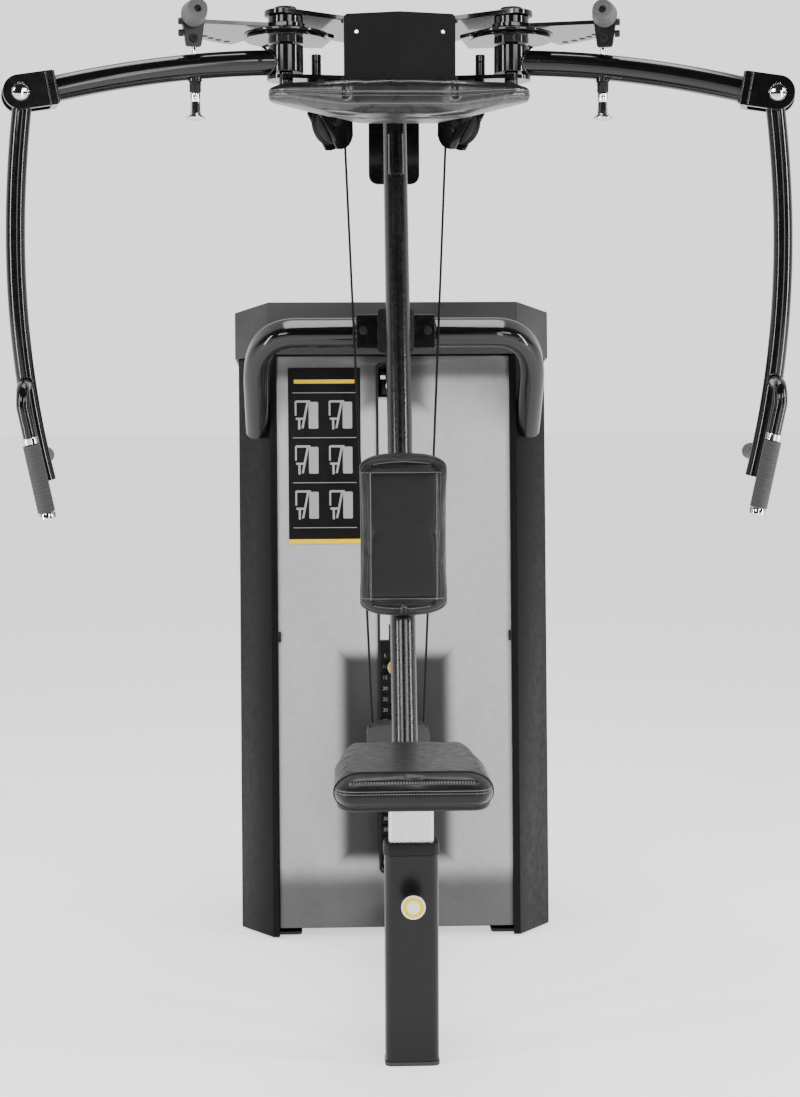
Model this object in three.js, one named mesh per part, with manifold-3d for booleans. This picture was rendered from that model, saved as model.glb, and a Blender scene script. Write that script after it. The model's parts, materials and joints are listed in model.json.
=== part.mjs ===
// A selectorised pec deck (chest fly and rear delt) machine, in millimetres, +Z up.
// The origin lies on the floor under the middle of the machine, and the user faces -Y.
// A leaning weight tower stands at the back (+Y); a rail on the floor joins it to the seat post in front.
import * as THREE from "three";
import { mergeVertices } from "three/addons/utils/BufferGeometryUtils.js";
import Module from "manifold-3d";

const wasm = await Module();
wasm.setup();

// ---- driving dimensions ----
const GAP = 0.4; // running or seating gap between two separate pieces
const rad = THREE.MathUtils.degToRad;

const SEAT_POST = { front: -635, width: 100, depth: 58, height: 396, wall: 4 };
const COLLAR = { width: 104, depth: 62, height: 22 };
const SEAT_TUBE = { width: 83, depth: 40, bottom: 130, top: 500 };
const SEAT = { width: 282, depth: 375, front: -777, bottom: 512, thickness: 60, rearWidth: 243 };
const SEAT_PIN = {
  z: 317,
  nutRadius: 14,
  nutLength: 14,
  neckRadius: 11,
  neckEnd: 34,
  rodRadius: 5,
  knobRadius: 22.5,
};
const FOOT = { thickness: 7.6, width: 60, length: 300, x: 250 };

const RAIL = { width: 51, height: 76, wall: 4, crossHalf: 300, crossWidth: 50, crossBottom: 8, crossTop: 58 };
const MAST = { width: 51, depth: 76, wall: 4, footY: -475, footZ: 50, slope: 0.342, top: 1862 };
const BACK_PAD = { width: 165, height: 330, thickness: 50, midZ: 966, faceOffset: 150 };

const PIVOT = { x: 229, y: -155, hubRadius: 35.5 };
const TOP_PLATE = { bottom: 2008, thickness: 10, endRadius: 43 };
const BOTTOM_PLATE = { bottom: 1880, thickness: 8, endRadius: 39 };
const SECTOR_PLATE = { bottom: 1984, thickness: 8, holeRadius: 186, holes: 9, holeStep: 7.5 };
const COVER = { half: 112, sheet: 4, sideY: -206, foldY: -232, backY: -184, bottom: 1868, top: 2004 };
const HEADER_PAD = { bottom: 1806, top: 1866 };
const CABLE_CAM = { radius: 80, bottom: 1953, thickness: 20 };

const ARM = { swing: 13, tubeRadius: 25.4, wall: 3, barrelBottom: 1895, barrelTop: 1949 };
const CLEVIS = { radial: 533, height: 1834, tilt: 10, earWidth: 67, earInner: 21, earOuter: 31 };
const FOREARM = { tubeRadius: 19, wall: 3, endRadial: 494, endHeight: 1076, hubRadius: 25 };
const GRIP_RADIUS = 17;
const HANDLE = { radius: 12.7, turn: 9, reach: 100, elbow: 34, stem: 74, gripLength: 134, ringRadius: 16 };
const PEG = { length: 150, coreRadius: 9, collarRadius: 15, buttonRadius: 16 };
const CLEVIS_PIN_RADIUS = 15;

const TOWER = { y: 223, lean: 5, halfWidth: 361, frontHalfWidth: 285, chamfer: 96, depth: 420 };
const SHELL = { thickness: 5, top: 1345 };
const CAP = { bottom: 1346, top: 1470, overhang: 8, chamferDrop: 10 };
const SLOT = { halfWidth: 35, bottom: 152, top: 1322 };
const STACK = { width: 254, plateDepth: 108, plate: 25.4, bottom: 150, plates: 20, lifted: 2, y: 70 };
const ROD = { x: 90, radius: 12.7 };
const HEAD_PULLEY = { radius: 52, halfWidth: 12, z: 1323 };
const AXLE_RADIUS = 8;

const CABLE_RADIUS = 2.5;
const TOP_PULLEY = { x: 141, y: 60, z: 1829, radius: 45, width: 24 };
const LOWER_HOUSING = { width: 139, depth: 74, bottom: 330, top: 519, y: 110 };
const CABLE_DROP_FOOT_X = 57;

// ---- materials ----
const finish = (color, roughness, metalness) =>
  new THREE.MeshStandardMaterial({ color, roughness, metalness });
const blackPaint = () => finish(0x0b0b0c, 0.22, 0.3);
const charcoalPaint = () => finish(0x2a2b2d, 0.5, 0.2);
const satinGrey = () => finish(0x3a3b3c, 0.55, 0.1);
const frostedPanel = () => finish(0x9a9b9d, 0.6, 0);
const vinyl = () => finish(0x101011, 0.5, 0);
const rubber = () => finish(0x3c3d3f, 0.8, 0);
const chrome = () => finish(0xd8d9dc, 0.1, 1);
const stainless = () => finish(0xb9babc, 0.35, 1);
const blackPlastic = () => finish(0x141415, 0.55, 0);
const ironPlate = () => finish(0x1a1a1b, 0.6, 0.4);
const steelCable = () => finish(0x161616, 0.4, 0.2);

// ---- solid building helpers ----
function toSolid(geometry) {
  const bare = new THREE.BufferGeometry();
  bare.setAttribute("position", geometry.getAttribute("position"));
  bare.setIndex(geometry.getIndex());
  const merged = mergeVertices(bare, 1e-3);
  const corners = merged.index.array;
  const faces = [];
  for (let i = 0; i < corners.length; i += 3) {
    const [a, b, c] = [corners[i], corners[i + 1], corners[i + 2]];
    if (a !== b && b !== c && a !== c) faces.push(a, b, c);
  }
  return new wasm.Manifold(
    new wasm.Mesh({
      numProp: 3,
      vertProperties: new Float32Array(merged.attributes.position.array),
      triVerts: new Uint32Array(faces),
    }),
  );
}

function toGeometry(solid) {
  const mesh = solid.getMesh();
  const geometry = new THREE.BufferGeometry();
  geometry.setAttribute("position", new THREE.BufferAttribute(new Float32Array(mesh.vertProperties), 3));
  geometry.setIndex(new THREE.BufferAttribute(new Uint32Array(mesh.triVerts), 1));
  geometry.computeVertexNormals();
  return geometry;
}

const joined = (first, ...others) => others.reduce((sum, next) => sum.add(next), first);
const without = (first, ...others) => others.reduce((rest, next) => rest.subtract(next), first);
const vec = (x, y, z) => new THREE.Vector3(x, y, z);

function piece(parent, name, solid, material) {
  const mesh = new THREE.Mesh(toGeometry(solid), material);
  mesh.name = name;
  parent.add(mesh);
  return mesh;
}

// A solid block given by its lowest and highest corners.
function block([x0, y0, z0], [x1, y1, z1]) {
  const geometry = new THREE.BoxGeometry(x1 - x0, y1 - y0, z1 - z0);
  geometry.translate((x0 + x1) / 2, (y0 + y1) / 2, (z0 + z1) / 2);
  return toSolid(geometry);
}

// A round rod between two points; a second radius makes it a cone.
function rod(from, to, radius, sides = 16, endRadius = radius) {
  const along = to.clone().sub(from);
  const geometry = new THREE.CylinderGeometry(endRadius, radius, along.length(), sides);
  geometry.translate(0, along.length() / 2, 0);
  geometry.applyQuaternion(
    new THREE.Quaternion().setFromUnitVectors(vec(0, 1, 0), along.clone().normalize()),
  );
  geometry.translate(from.x, from.y, from.z);
  return toSolid(geometry);
}

const upright = (x, y, z0, z1, radius, sides = 20, topRadius = radius) =>
  rod(vec(x, y, z0), vec(x, y, z1), radius, sides, topRadius);

// A flat outline in the XY plane, raised from z0 to z1.
function slab(shape, z0, z1, curveSegments = 2) {
  const geometry = new THREE.ExtrudeGeometry(shape, {
    depth: z1 - z0,
    bevelEnabled: false,
    curveSegments,
  });
  geometry.translate(0, 0, z0);
  return toSolid(geometry);
}

function polygon(points) {
  return new THREE.Shape(points.map(([x, y]) => new THREE.Vector2(x, y)));
}

function roundedRectangle(width, depth, radius, cx = 0, cy = 0) {
  const [w, d] = [width / 2 - radius, depth / 2 - radius];
  const shape = new THREE.Shape();
  shape.absarc(cx + w, cy + d, radius, 0, Math.PI / 2);
  shape.absarc(cx - w, cy + d, radius, Math.PI / 2, Math.PI);
  shape.absarc(cx - w, cy - d, radius, Math.PI, 1.5 * Math.PI);
  shape.absarc(cx + w, cy - d, radius, 1.5 * Math.PI, 2 * Math.PI);
  shape.closePath();
  return shape;
}

function circle(radius) {
  const shape = new THREE.Shape();
  shape.absarc(0, 0, radius, 0, 2 * Math.PI);
  return shape;
}

// A closed bar of the given section along a curve.
function sweep(curve, shape, steps, curveSegments = 6) {
  return toSolid(
    new THREE.ExtrudeGeometry(shape, { steps, extrudePath: curve, curveSegments, bevelEnabled: false }),
  );
}

const moved = (solid, x, y, z) => solid.translate([x, y, z]);

// ---- base rail, seat post and seat ----
const towerMatrix = new THREE.Matrix4()
  .makeTranslation(0, TOWER.y, 0)
  .multiply(new THREE.Matrix4().makeRotationX(-rad(TOWER.lean)));

const mastY = (z) => MAST.footY + MAST.slope * (z - MAST.footZ);
const mastTilt = Math.atan(MAST.slope);

function buildBase(frame) {
  const postBack = SEAT_POST.front + SEAT_POST.depth;
  const crossY = TOWER.y + 60;
  const rearY = TOWER.y + 360;
  const half = RAIL.width / 2;
  const crossBar = (y) =>
    block(
      [-RAIL.crossHalf, y, RAIL.crossBottom],
      [RAIL.crossHalf, y + RAIL.crossWidth, RAIL.crossTop],
    );
  const pedestal = block(
    [-22, LOWER_HOUSING.y - 20, RAIL.height - 1],
    [22, LOWER_HOUSING.y + 20, LOWER_HOUSING.bottom - GAP],
  );
  const rail = joined(
    block([-half, postBack + GAP, 8], [half, rearY, RAIL.height]),
    crossBar(crossY),
    crossBar(rearY - RAIL.crossWidth),
    block([-48, postBack + GAP, 8], [48, postBack + 8, RAIL.height + 60]),
    pedestal,
  );
  const bore = block([-half + 4, postBack + 20, 12], [half - 4, rearY + 1, RAIL.height - 4]);
  const { wall, crossHalf, crossWidth, crossBottom, crossTop } = RAIL;
  const cross = [crossY, rearY - crossWidth].map((y) =>
    block(
      [-crossHalf - 1, y + wall, crossBottom + wall],
      [crossHalf + 1, y + crossWidth - wall, crossTop - wall],
    ),
  );
  piece(frame, "base_rail", without(rail, bore, ...cross), blackPaint());

  const midY = SEAT_POST.front + SEAT_POST.depth / 2;
  const outer = roundedRectangle(SEAT_POST.width, SEAT_POST.depth, 12, 0, midY);
  const inner = roundedRectangle(
    SEAT_POST.width - 2 * SEAT_POST.wall,
    SEAT_POST.depth - 2 * SEAT_POST.wall,
    8,
    0,
    midY,
  );
  const pinHole = rod(
    vec(0, SEAT_POST.front - 5, SEAT_PIN.z),
    vec(0, SEAT_POST.front + 15, SEAT_PIN.z),
    9,
  );
  const post = without(slab(outer, 8, SEAT_POST.height), slab(inner, 20, SEAT_POST.height + 1), pinHole);
  piece(frame, "seat_post", post, blackPaint());

  const soleOutline = roundedRectangle(SEAT_POST.width + 2, SEAT_POST.depth + 2, 13, 0, midY);
  const sole = slab(soleOutline, 0, FOOT.thickness);
  piece(frame, "front_foot", sole, rubber());
  [-1, 1].forEach((side) => {
    const name = side < 0 ? "left" : "right";
    const outline = roundedRectangle(FOOT.width, FOOT.length, 10, side * FOOT.x, crossY + 125);
    const foot = slab(outline, 0, FOOT.thickness);
    piece(frame, name + "_tower_foot", foot, rubber());
  });

  const collarRim = slab(
    roundedRectangle(COLLAR.width, COLLAR.depth, 14, 0, midY),
    SEAT_POST.height + GAP,
    SEAT_POST.height + COLLAR.height,
  );
  const collarSleeve = slab(
    roundedRectangle(
      SEAT_POST.width - 2 * (SEAT_POST.wall + GAP),
      SEAT_POST.depth - 2 * (SEAT_POST.wall + GAP),
      7,
      0,
      midY,
    ),
    SEAT_POST.height - 50,
    SEAT_POST.height + 5,
  );
  const collarBore = slab(
    roundedRectangle(SEAT_TUBE.width + 1, SEAT_TUBE.depth + 1, 9.5, 0, midY),
    SEAT_POST.height - 60,
    SEAT_POST.height + 40,
  );
  piece(frame, "seat_collar", without(joined(collarRim, collarSleeve), collarBore), blackPlastic());

  const nutFront = SEAT_POST.front - GAP;
  const onPinAxis = (from, to, radius, sides, endRadius) =>
    rod(vec(0, from, SEAT_PIN.z), vec(0, to, SEAT_PIN.z), radius, sides, endRadius);
  const nut = onPinAxis(nutFront, nutFront - SEAT_PIN.nutLength, SEAT_PIN.nutRadius, 6);
  const neck = onPinAxis(nutFront - 13, nutFront - SEAT_PIN.neckEnd, SEAT_PIN.neckRadius);
  const thread = onPinAxis(nutFront - 1, SEAT_POST.front + 3, 8.5);
  const plungerBore = onPinAxis(nutFront - 40, 0, SEAT_PIN.rodRadius + GAP, 16);
  piece(frame, "seat_pin_housing", without(joined(nut, neck, thread), plungerBore), blackPlastic());

  const knobBack = nutFront - SEAT_PIN.neckEnd - GAP;
  const plunger = onPinAxis(knobBack - 10, SEAT_POST.front + 6, SEAT_PIN.rodRadius, 16);
  const shank = onPinAxis(knobBack, knobBack - 20, SEAT_PIN.neckRadius, 24, 13);
  const head = onPinAxis(knobBack - 19, knobBack - 32, SEAT_PIN.knobRadius, 28, 21);
  piece(frame, "seat_pin_knob", joined(plunger, shank, head), chrome());

  const tubeOutside = roundedRectangle(SEAT_TUBE.width, SEAT_TUBE.depth, 9, 0, midY);
  const tubeInside = roundedRectangle(SEAT_TUBE.width - 6, SEAT_TUBE.depth - 6, 6, 0, midY);
  const tube = without(
    slab(tubeOutside, SEAT_TUBE.bottom, SEAT_TUBE.top),
    slab(tubeInside, SEAT_TUBE.bottom - 1, SEAT_TUBE.top - 6),
  );
  const seatMidY = SEAT.front + SEAT.depth / 2;
  const plate = slab(roundedRectangle(150, 250, 12, 0, seatMidY), SEAT_TUBE.top - 1, SEAT.bottom - GAP);
  piece(frame, "seat_tube", joined(tube, plate), stainless());
  const seatOutline = polygon([
    [-SEAT.width / 2 + 16, SEAT.front],
    [SEAT.width / 2 - 16, SEAT.front],
    [SEAT.width / 2, SEAT.front + 34],
    [SEAT.width / 2, SEAT.front + 230],
    [SEAT.rearWidth / 2, SEAT.front + SEAT.depth - 18],
    [SEAT.rearWidth / 2 - 22, SEAT.front + SEAT.depth],
    [-SEAT.rearWidth / 2 + 22, SEAT.front + SEAT.depth],
    [-SEAT.rearWidth / 2, SEAT.front + SEAT.depth - 18],
    [-SEAT.width / 2, SEAT.front + 230],
    [-SEAT.width / 2, SEAT.front + 34],
  ]);
  piece(frame, "seat_cushion", slab(seatOutline, SEAT.bottom, SEAT.bottom + SEAT.thickness), vinyl());
}

// ---- mast, back pad and cross tube ----
function obroundSection(width, depth) {
  return roundedRectangle(width, depth, width / 2 - 0.01);
}

// The space that the tower's outside takes up, with a seating gap all round.
function towerEnvelope() {
  const outline = [-1, 1].flatMap((side) => {
    const half = [
      [side * (TOWER.frontHalfWidth + GAP), -GAP],
      [side * (TOWER.halfWidth + GAP), TOWER.chamfer - GAP],
      [side * (TOWER.halfWidth + GAP), TOWER.depth],
    ];
    return side < 0 ? half.reverse() : half;
  });
  const geometry = new THREE.ExtrudeGeometry(polygon(outline), {
    depth: CAP.top + 30,
    bevelEnabled: false,
  });
  return toSolid(geometry.applyMatrix4(towerMatrix));
}

const CROSS = { y: 167, z: 1386, halfReach: 338, dropY: 392, dropZ: 1130, width: 58, height: 44 };

function buildMast(frame) {
  const foot = RAIL.height + GAP;
  const length = (MAST.top - foot) / Math.cos(mastTilt) + 80;
  const lean = new THREE.Matrix4()
    .makeTranslation(0, mastY(foot), foot)
    .multiply(new THREE.Matrix4().makeRotationX(-mastTilt));
  const section = (shape, low, high) => {
    const geometry = new THREE.ExtrudeGeometry(shape, {
      depth: high - low,
      bevelEnabled: false,
      curveSegments: 3,
    });
    geometry.translate(0, 0, low);
    geometry.applyMatrix4(lean);
    return toSolid(geometry);
  };
  const tube = section(obroundSection(MAST.width, MAST.depth), -60, length);
  const inside = obroundSection(MAST.width - 2 * MAST.wall, MAST.depth - 2 * MAST.wall);
  const bore = section(inside, -70, length + 10);
  const footPlate = block([-45, mastY(foot) - 70, foot], [45, mastY(foot) + 60, foot + 10]);
  const standoffLow = CROSS.z - 34;
  const standoff = block([-20, mastY(CROSS.z) + 20, standoffLow], [20, CROSS.y - 44, CROSS.z + 34]);
  const standoffPlate = block([-40, CROSS.y - 50, CROSS.z - 48], [40, CROSS.y - 42, CROSS.z + 48]);
  const above = block([-200, -800, MAST.top], [200, 900, 2600]);
  const below = block([-200, -900, -300], [200, 600, foot]);
  const faceY = mastY(BACK_PAD.midZ) - BACK_PAD.faceOffset;
  const padBack = faceY + BACK_PAD.thickness;
  const halfHeight = BACK_PAD.height / 2;
  const side = new THREE.Shape();
  side.moveTo(-padBack, -halfHeight + 22);
  side.lineTo(-padBack, halfHeight - 22);
  side.quadraticCurveTo(-padBack + 24, halfHeight, -padBack + 40, halfHeight - 6);
  side.lineTo(-faceY, halfHeight - 36);
  side.lineTo(-faceY, -halfHeight + 36);
  side.lineTo(-padBack + 40, -halfHeight + 6);
  side.quadraticCurveTo(-padBack + 24, -halfHeight, -padBack, -halfHeight + 22);
  const padGeometry = new THREE.ExtrudeGeometry(side, {
    depth: BACK_PAD.width,
    bevelEnabled: false,
    curveSegments: 4,
  });
  padGeometry.translate(0, 0, -BACK_PAD.width / 2);
  padGeometry.applyMatrix4(
    new THREE.Matrix4().makeBasis(vec(0, -1, 0), vec(0, 0, 1), vec(-1, 0, 0)),
  );
  padGeometry.translate(0, 0, BACK_PAD.midZ);
  piece(frame, "back_pad", toSolid(padGeometry), vinyl());

  const plateY = padBack + GAP;
  const board = block([-60, plateY, BACK_PAD.midZ - 120], [60, plateY + 8, BACK_PAD.midZ + 120]);
  const webs = [-90, 90].map((offset) => {
    const z = BACK_PAD.midZ + offset;
    return block([-18, plateY + 4, z - 22], [18, mastY(z) - 30, z + 22]);
  });
  const mast = without(
    joined(without(joined(tube, ...webs), bore), footPlate, standoff, standoffPlate, board),
    above,
    below,
  );
  piece(frame, "mast", mast, blackPaint());
}

function buildCrossTube(frame) {
  const { y, z, halfReach, dropY, dropZ } = CROSS;
  const path = new THREE.CurvePath();
  const bendStart = halfReach - 120;
  const bendY = y + (dropY - y) * 0.42;
  const bendZ = z - (bendY - y) * ((z - dropZ) / (dropY - y));
  path.add(new THREE.LineCurve3(vec(-halfReach + 24, dropY, dropZ), vec(-halfReach + 24, bendY, bendZ)));
  path.add(
    new THREE.QuadraticBezierCurve3(
      vec(-halfReach + 24, bendY, bendZ),
      vec(-halfReach + 24, y, z),
      vec(-bendStart, y, z),
    ),
  );
  path.add(new THREE.LineCurve3(vec(-bendStart, y, z), vec(bendStart, y, z)));
  path.add(
    new THREE.QuadraticBezierCurve3(
      vec(bendStart, y, z),
      vec(halfReach - 24, y, z),
      vec(halfReach - 24, bendY, bendZ),
    ),
  );
  path.add(new THREE.LineCurve3(vec(halfReach - 24, bendY, bendZ), vec(halfReach - 24, dropY, dropZ)));
  const tube = sweep(path, roundedRectangle(CROSS.height, CROSS.width, 21.9), 26, 2);
  const sleeve = block([-87, y - 34, z - 42], [87, y + 34, z + 38]);
  const bolts = [-70, 70].map((x) => rod(vec(x, y - 33, z + 4), vec(x, y - 42, z + 4), 9, 6));
  piece(frame, "cross_tube", without(joined(tube, sleeve, ...bolts), towerEnvelope()), blackPaint());
}

// ---- overhead boom ----
// The plates' outline runs from one pivot's round end to the other, and back to the mast.
function boomOutline(endRadius, frontY, backY) {
  const { x, y } = PIVOT;
  const shape = new THREE.Shape();
  shape.absarc(x, y, endRadius, -0.5 * Math.PI, 0.4 * Math.PI);
  shape.lineTo(x - 34, 40);
  shape.lineTo(110, 120);
  shape.lineTo(70, backY);
  shape.lineTo(-70, backY);
  shape.lineTo(-110, 120);
  shape.lineTo(-x + 34, 40);
  shape.absarc(-x, y, endRadius, 0.6 * Math.PI, 1.5 * Math.PI);
  shape.lineTo(-112, frontY);
  shape.lineTo(112, frontY);
  shape.closePath();
  return shape;
}

const SHAFT_RADIUS = 14;

function buildBoom(frame) {
  const top = TOP_PLATE.bottom;
  const bottom = BOTTOM_PLATE.bottom;
  const shaftHoles = (z0, z1) =>
    [-1, 1].map((side) => upright(side * PIVOT.x, PIVOT.y, z0, z1, SHAFT_RADIUS + GAP));
  const topPlate = slab(boomOutline(TOP_PLATE.endRadius, -120, 150), top, top + TOP_PLATE.thickness, 5);
  piece(
    frame,
    "boom_top_plate",
    without(topPlate, ...shaftHoles(top - 1, top + TOP_PLATE.thickness + 1)),
    blackPaint(),
  );

  const bottomOutline = boomOutline(BOTTOM_PLATE.endRadius, -175, 170);
  const bottomPlate = slab(bottomOutline, bottom, bottom + BOTTOM_PLATE.thickness, 5);
  const neckTop = top - GAP;
  const neck = block([-48, -20, bottom + 5], [48, 130, neckTop]);
  const neckBore = block([-40, -12, bottom + 20], [40, 122, neckTop + 1]);
  const studs = [-1, 1].map((side) => upright(side * 160, -122, bottom + 5, 1938, 10, 16));
  const mastSeat = block([-62, 40, MAST.top + GAP], [62, 196, bottom + 1]);
  const backPlate = block([-56, 186, 1712], [56, 196, bottom + 5]);
  const plateWithCables = without(
    joined(without(joined(bottomPlate, neck), neckBore), ...studs, mastSeat, backPlate),
    ...shaftHoles(bottom - 1, bottom + BOTTOM_PLATE.thickness + 1),
  );
  const cableSlots = [-1, 1].map((side) => {
    const [start, end] = cableRoute();
    const place = (point) => vec(-side * point.x, point.y, point.z);
    return rod(place(start), place(end.clone().lerp(start, -0.1)), 8, 10);
  });
  piece(frame, "boom_lower_frame", without(plateWithCables, ...cableSlots), blackPaint());

  [-1, 1].forEach((side) => {
    const name = side < 0 ? "left" : "right";
    const x = side * PIVOT.x;
    const shaft = upright(x, PIVOT.y, bottom - 12, top + TOP_PLATE.thickness + 8, SHAFT_RADIUS);
    const cap = upright(x, PIVOT.y, top + TOP_PLATE.thickness + GAP, top + TOP_PLATE.thickness + 8, 22);
    piece(frame, name + "_pivot_shaft", joined(shaft, cap), blackPaint());
  });

  const { half, sheet, sideY, foldY, backY } = COVER;
  const coverShape = polygon([
    [-half, sideY],
    [0, foldY],
    [half, sideY],
    [half, backY],
    [half - sheet, backY],
    [half - sheet, sideY + sheet],
    [0, foldY + sheet + 1],
    [-half + sheet, sideY + sheet],
    [-half + sheet, backY],
    [-half, backY],
  ]);
  piece(frame, "front_cover", slab(coverShape, COVER.bottom, COVER.top), blackPaint());

  const header = new THREE.Shape();
  header.moveTo(-258, -150);
  header.quadraticCurveTo(-272, -196, -232, -206);
  header.lineTo(-105, -252);
  header.lineTo(105, -252);
  header.lineTo(232, -206);
  header.quadraticCurveTo(272, -196, 258, -150);
  header.lineTo(70, -48);
  header.lineTo(-70, -48);
  header.closePath();
  piece(frame, "header_pad", slab(header, HEADER_PAD.bottom, HEADER_PAD.top), vinyl());
}

// ---- one arm side; the right side is the left one mirrored ----
const PIN_RADIAL = SECTOR_PLATE.holeRadius;
const BUMPER_Z = 1999;

function sectorShape() {
  const shape = new THREE.Shape();
  const [start, end] = [rad(112), rad(184.4)];
  const reach = SECTOR_PLATE.holeRadius + 24;
  shape.absarc(0, 0, 40, rad(-100), rad(10));
  shape.lineTo(118, 76);
  shape.lineTo(118, 190);
  shape.lineTo(44, 196);
  shape.lineTo(20, 60);
  shape.lineTo(reach * 0.5 * Math.cos(start), reach * 0.5 * Math.sin(start));
  shape.absarc(0, 0, reach, start, end);
  shape.lineTo(-39, -16);
  shape.closePath();
  return shape;
}

function buildCam(parent, name) {
  const bore = upright(0, 0, 1900, 2020, SHAFT_RADIUS + GAP);
  const plate = slab(sectorShape(), SECTOR_PLATE.bottom, SECTOR_PLATE.bottom + SECTOR_PLATE.thickness, 5);
  const holes = [];
  for (let step = 0; step < SECTOR_PLATE.holes; step += 1) {
    const angle = rad(180 - SECTOR_PLATE.holeStep * step);
    const x = SECTOR_PLATE.holeRadius * Math.cos(angle);
    const y = SECTOR_PLATE.holeRadius * Math.sin(angle);
    holes.push(upright(x, y, 1975, 2000, 5.6, 8));
  }
  const upper = upright(0, 0, 1990, TOP_PLATE.bottom - GAP, PIVOT.hubRadius);
  const cam = upright(0, 0, CABLE_CAM.bottom, 1985, PIVOT.hubRadius);
  const groove = CABLE_CAM.bottom + 12;
  const camDisc = upright(0, 0, groove - 5, groove + 5, CABLE_CAM.radius - CABLE_RADIUS - 0.5, 28);
  const camRim = upright(0, 0, groove + 4, groove + 8, CABLE_CAM.radius + 5, 28);
  // The stop bumper stands on an upright bracket bolted to the sector plate's front edge.
  const bracketShape = new THREE.Shape();
  bracketShape.moveTo(-16, 1946);
  bracketShape.lineTo(16, 1946);
  bracketShape.lineTo(24, BUMPER_Z);
  bracketShape.absarc(0, BUMPER_Z, 24, 0, Math.PI);
  bracketShape.closePath();
  const bracketGeometry = new THREE.ExtrudeGeometry(bracketShape, {
    depth: 10,
    bevelEnabled: false,
    curveSegments: 5,
  });
  bracketGeometry.applyMatrix4(new THREE.Matrix4().makeBasis(vec(1, 0, 0), vec(0, 0, 1), vec(0, -1, 0)));
  bracketGeometry.translate(-PIN_RADIAL, -18, 0);
  const bracketBlock = block([-PIN_RADIAL - 14, -20, 1976], [-PIN_RADIAL + 14, -12, 1996]);
  const solid = joined(plate, upper, cam, camDisc, camRim, toSolid(bracketGeometry), bracketBlock);
  piece(parent, name + "_cam", without(solid, bore, ...holes), blackPaint());

  const bumperBack = -28 - GAP;
  const bumper = rod(vec(-PIN_RADIAL, bumperBack, BUMPER_Z), vec(-PIN_RADIAL, -88, BUMPER_Z), 25, 20, 18.5);
  const bumperHole = rod(vec(-PIN_RADIAL, -66, BUMPER_Z), vec(-PIN_RADIAL, -90, BUMPER_Z), 7, 12);
  piece(parent, name + "_bumper", bumper.subtract(bumperHole), rubber());
}

const inArm = (radial, z, y = 0) => vec(-radial, y, z);

function armCurve() {
  return new THREE.QuadraticBezierCurve3(inArm(24, 1915), inArm(240, 1905), inArm(470, 1845));
}

function buildArm(parent, name) {
  const barrel = upright(0, 0, ARM.barrelBottom, ARM.barrelTop, PIVOT.hubRadius, 28);
  const tube = sweep(armCurve(), circle(ARM.tubeRadius), 9, 7);
  const core = sweep(armCurve(), circle(ARM.tubeRadius - ARM.wall), 4, 3);
  const vent = rod(inArm(330, 1840), inArm(330, 1876), 4, 8);

  const clevis = new THREE.Matrix4()
    .makeTranslation(-CLEVIS.radial, 0, CLEVIS.height)
    .multiply(new THREE.Matrix4().makeRotationY(-rad(CLEVIS.tilt)));
  const place = (geometry) => toSolid(geometry.applyMatrix4(clevis));
  const basePlate = new THREE.BoxGeometry(14, 2 * CLEVIS.earOuter, CLEVIS.earWidth);
  basePlate.translate(62, 0, 0);
  const ear = new THREE.Shape();
  ear.absarc(0, 0, CLEVIS.earWidth / 2, Math.PI / 2, 1.5 * Math.PI);
  ear.lineTo(58, -CLEVIS.earWidth / 2);
  ear.lineTo(58, CLEVIS.earWidth / 2);
  ear.closePath();
  const pinHole = new THREE.Path();
  pinHole.absarc(0, 0, 16.4, 0, 2 * Math.PI);
  ear.holes.push(pinHole);
  const ears = [-CLEVIS.earOuter, CLEVIS.earInner].map((offset) => {
    const geometry = new THREE.ExtrudeGeometry(ear, {
      depth: CLEVIS.earOuter - CLEVIS.earInner,
      bevelEnabled: false,
      curveSegments: 5,
    });
    geometry.applyMatrix4(new THREE.Matrix4().makeBasis(vec(1, 0, 0), vec(0, 0, 1), vec(0, 1, 0)));
    geometry.translate(0, offset, 0);
    return geometry;
  });
  const earSolids = ears.map((geometry) => place(flipped(geometry)));
  const shaftBore = upright(0, 0, 1880, 1960, SHAFT_RADIUS + GAP);

  const pinBore = upright(-PIN_RADIAL, 0, 1860, 1960, 6.4, 16);
  const arm = without(
    joined(barrel, tube, place(basePlate), ...earSolids),
    core.subtract(upright(-PIN_RADIAL, 0, 1860, 1960, 10, 16)),
    shaftBore,
    vent,
    pinBore,
  );
  piece(parent, name + "_arm", arm, blackPaint());

  const nut = upright(-PIN_RADIAL, 0, 1863, 1871, 12, 6);
  const housing = upright(-PIN_RADIAL, 0, 1850, 1868, 11.5, 16);
  const housingBore = upright(-PIN_RADIAL, 0, 1840, 1880, 5.4, 16);
  const housingNode = joined(nut, housing).subtract(housingBore);
  piece(parent, name + "_pin_housing", housingNode, blackPlastic());

  const pinRod = upright(-PIN_RADIAL, 0, 1845, SECTOR_PLATE.bottom - 0.6, 5, 8);
  const shank = upright(-PIN_RADIAL, 0, 1808, 1850 - GAP, 10, 24, 10.5);
  const flare = upright(-PIN_RADIAL, 0, 1797, 1809, 20, 28, 12);
  piece(parent, name + "_start_pin", joined(pinRod, shank, flare), chrome());
}

// Turns a geometry's faces round after a basis change that mirrors it.
function flipped(geometry) {
  const position = geometry.getAttribute("position");
  for (let i = 0; i < position.count; i += 3) {
    const [x, y, z] = [position.getX(i), position.getY(i), position.getZ(i)];
    position.setXYZ(i, position.getX(i + 1), position.getY(i + 1), position.getZ(i + 1));
    position.setXYZ(i + 1, x, y, z);
  }
  return geometry;
}

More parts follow.
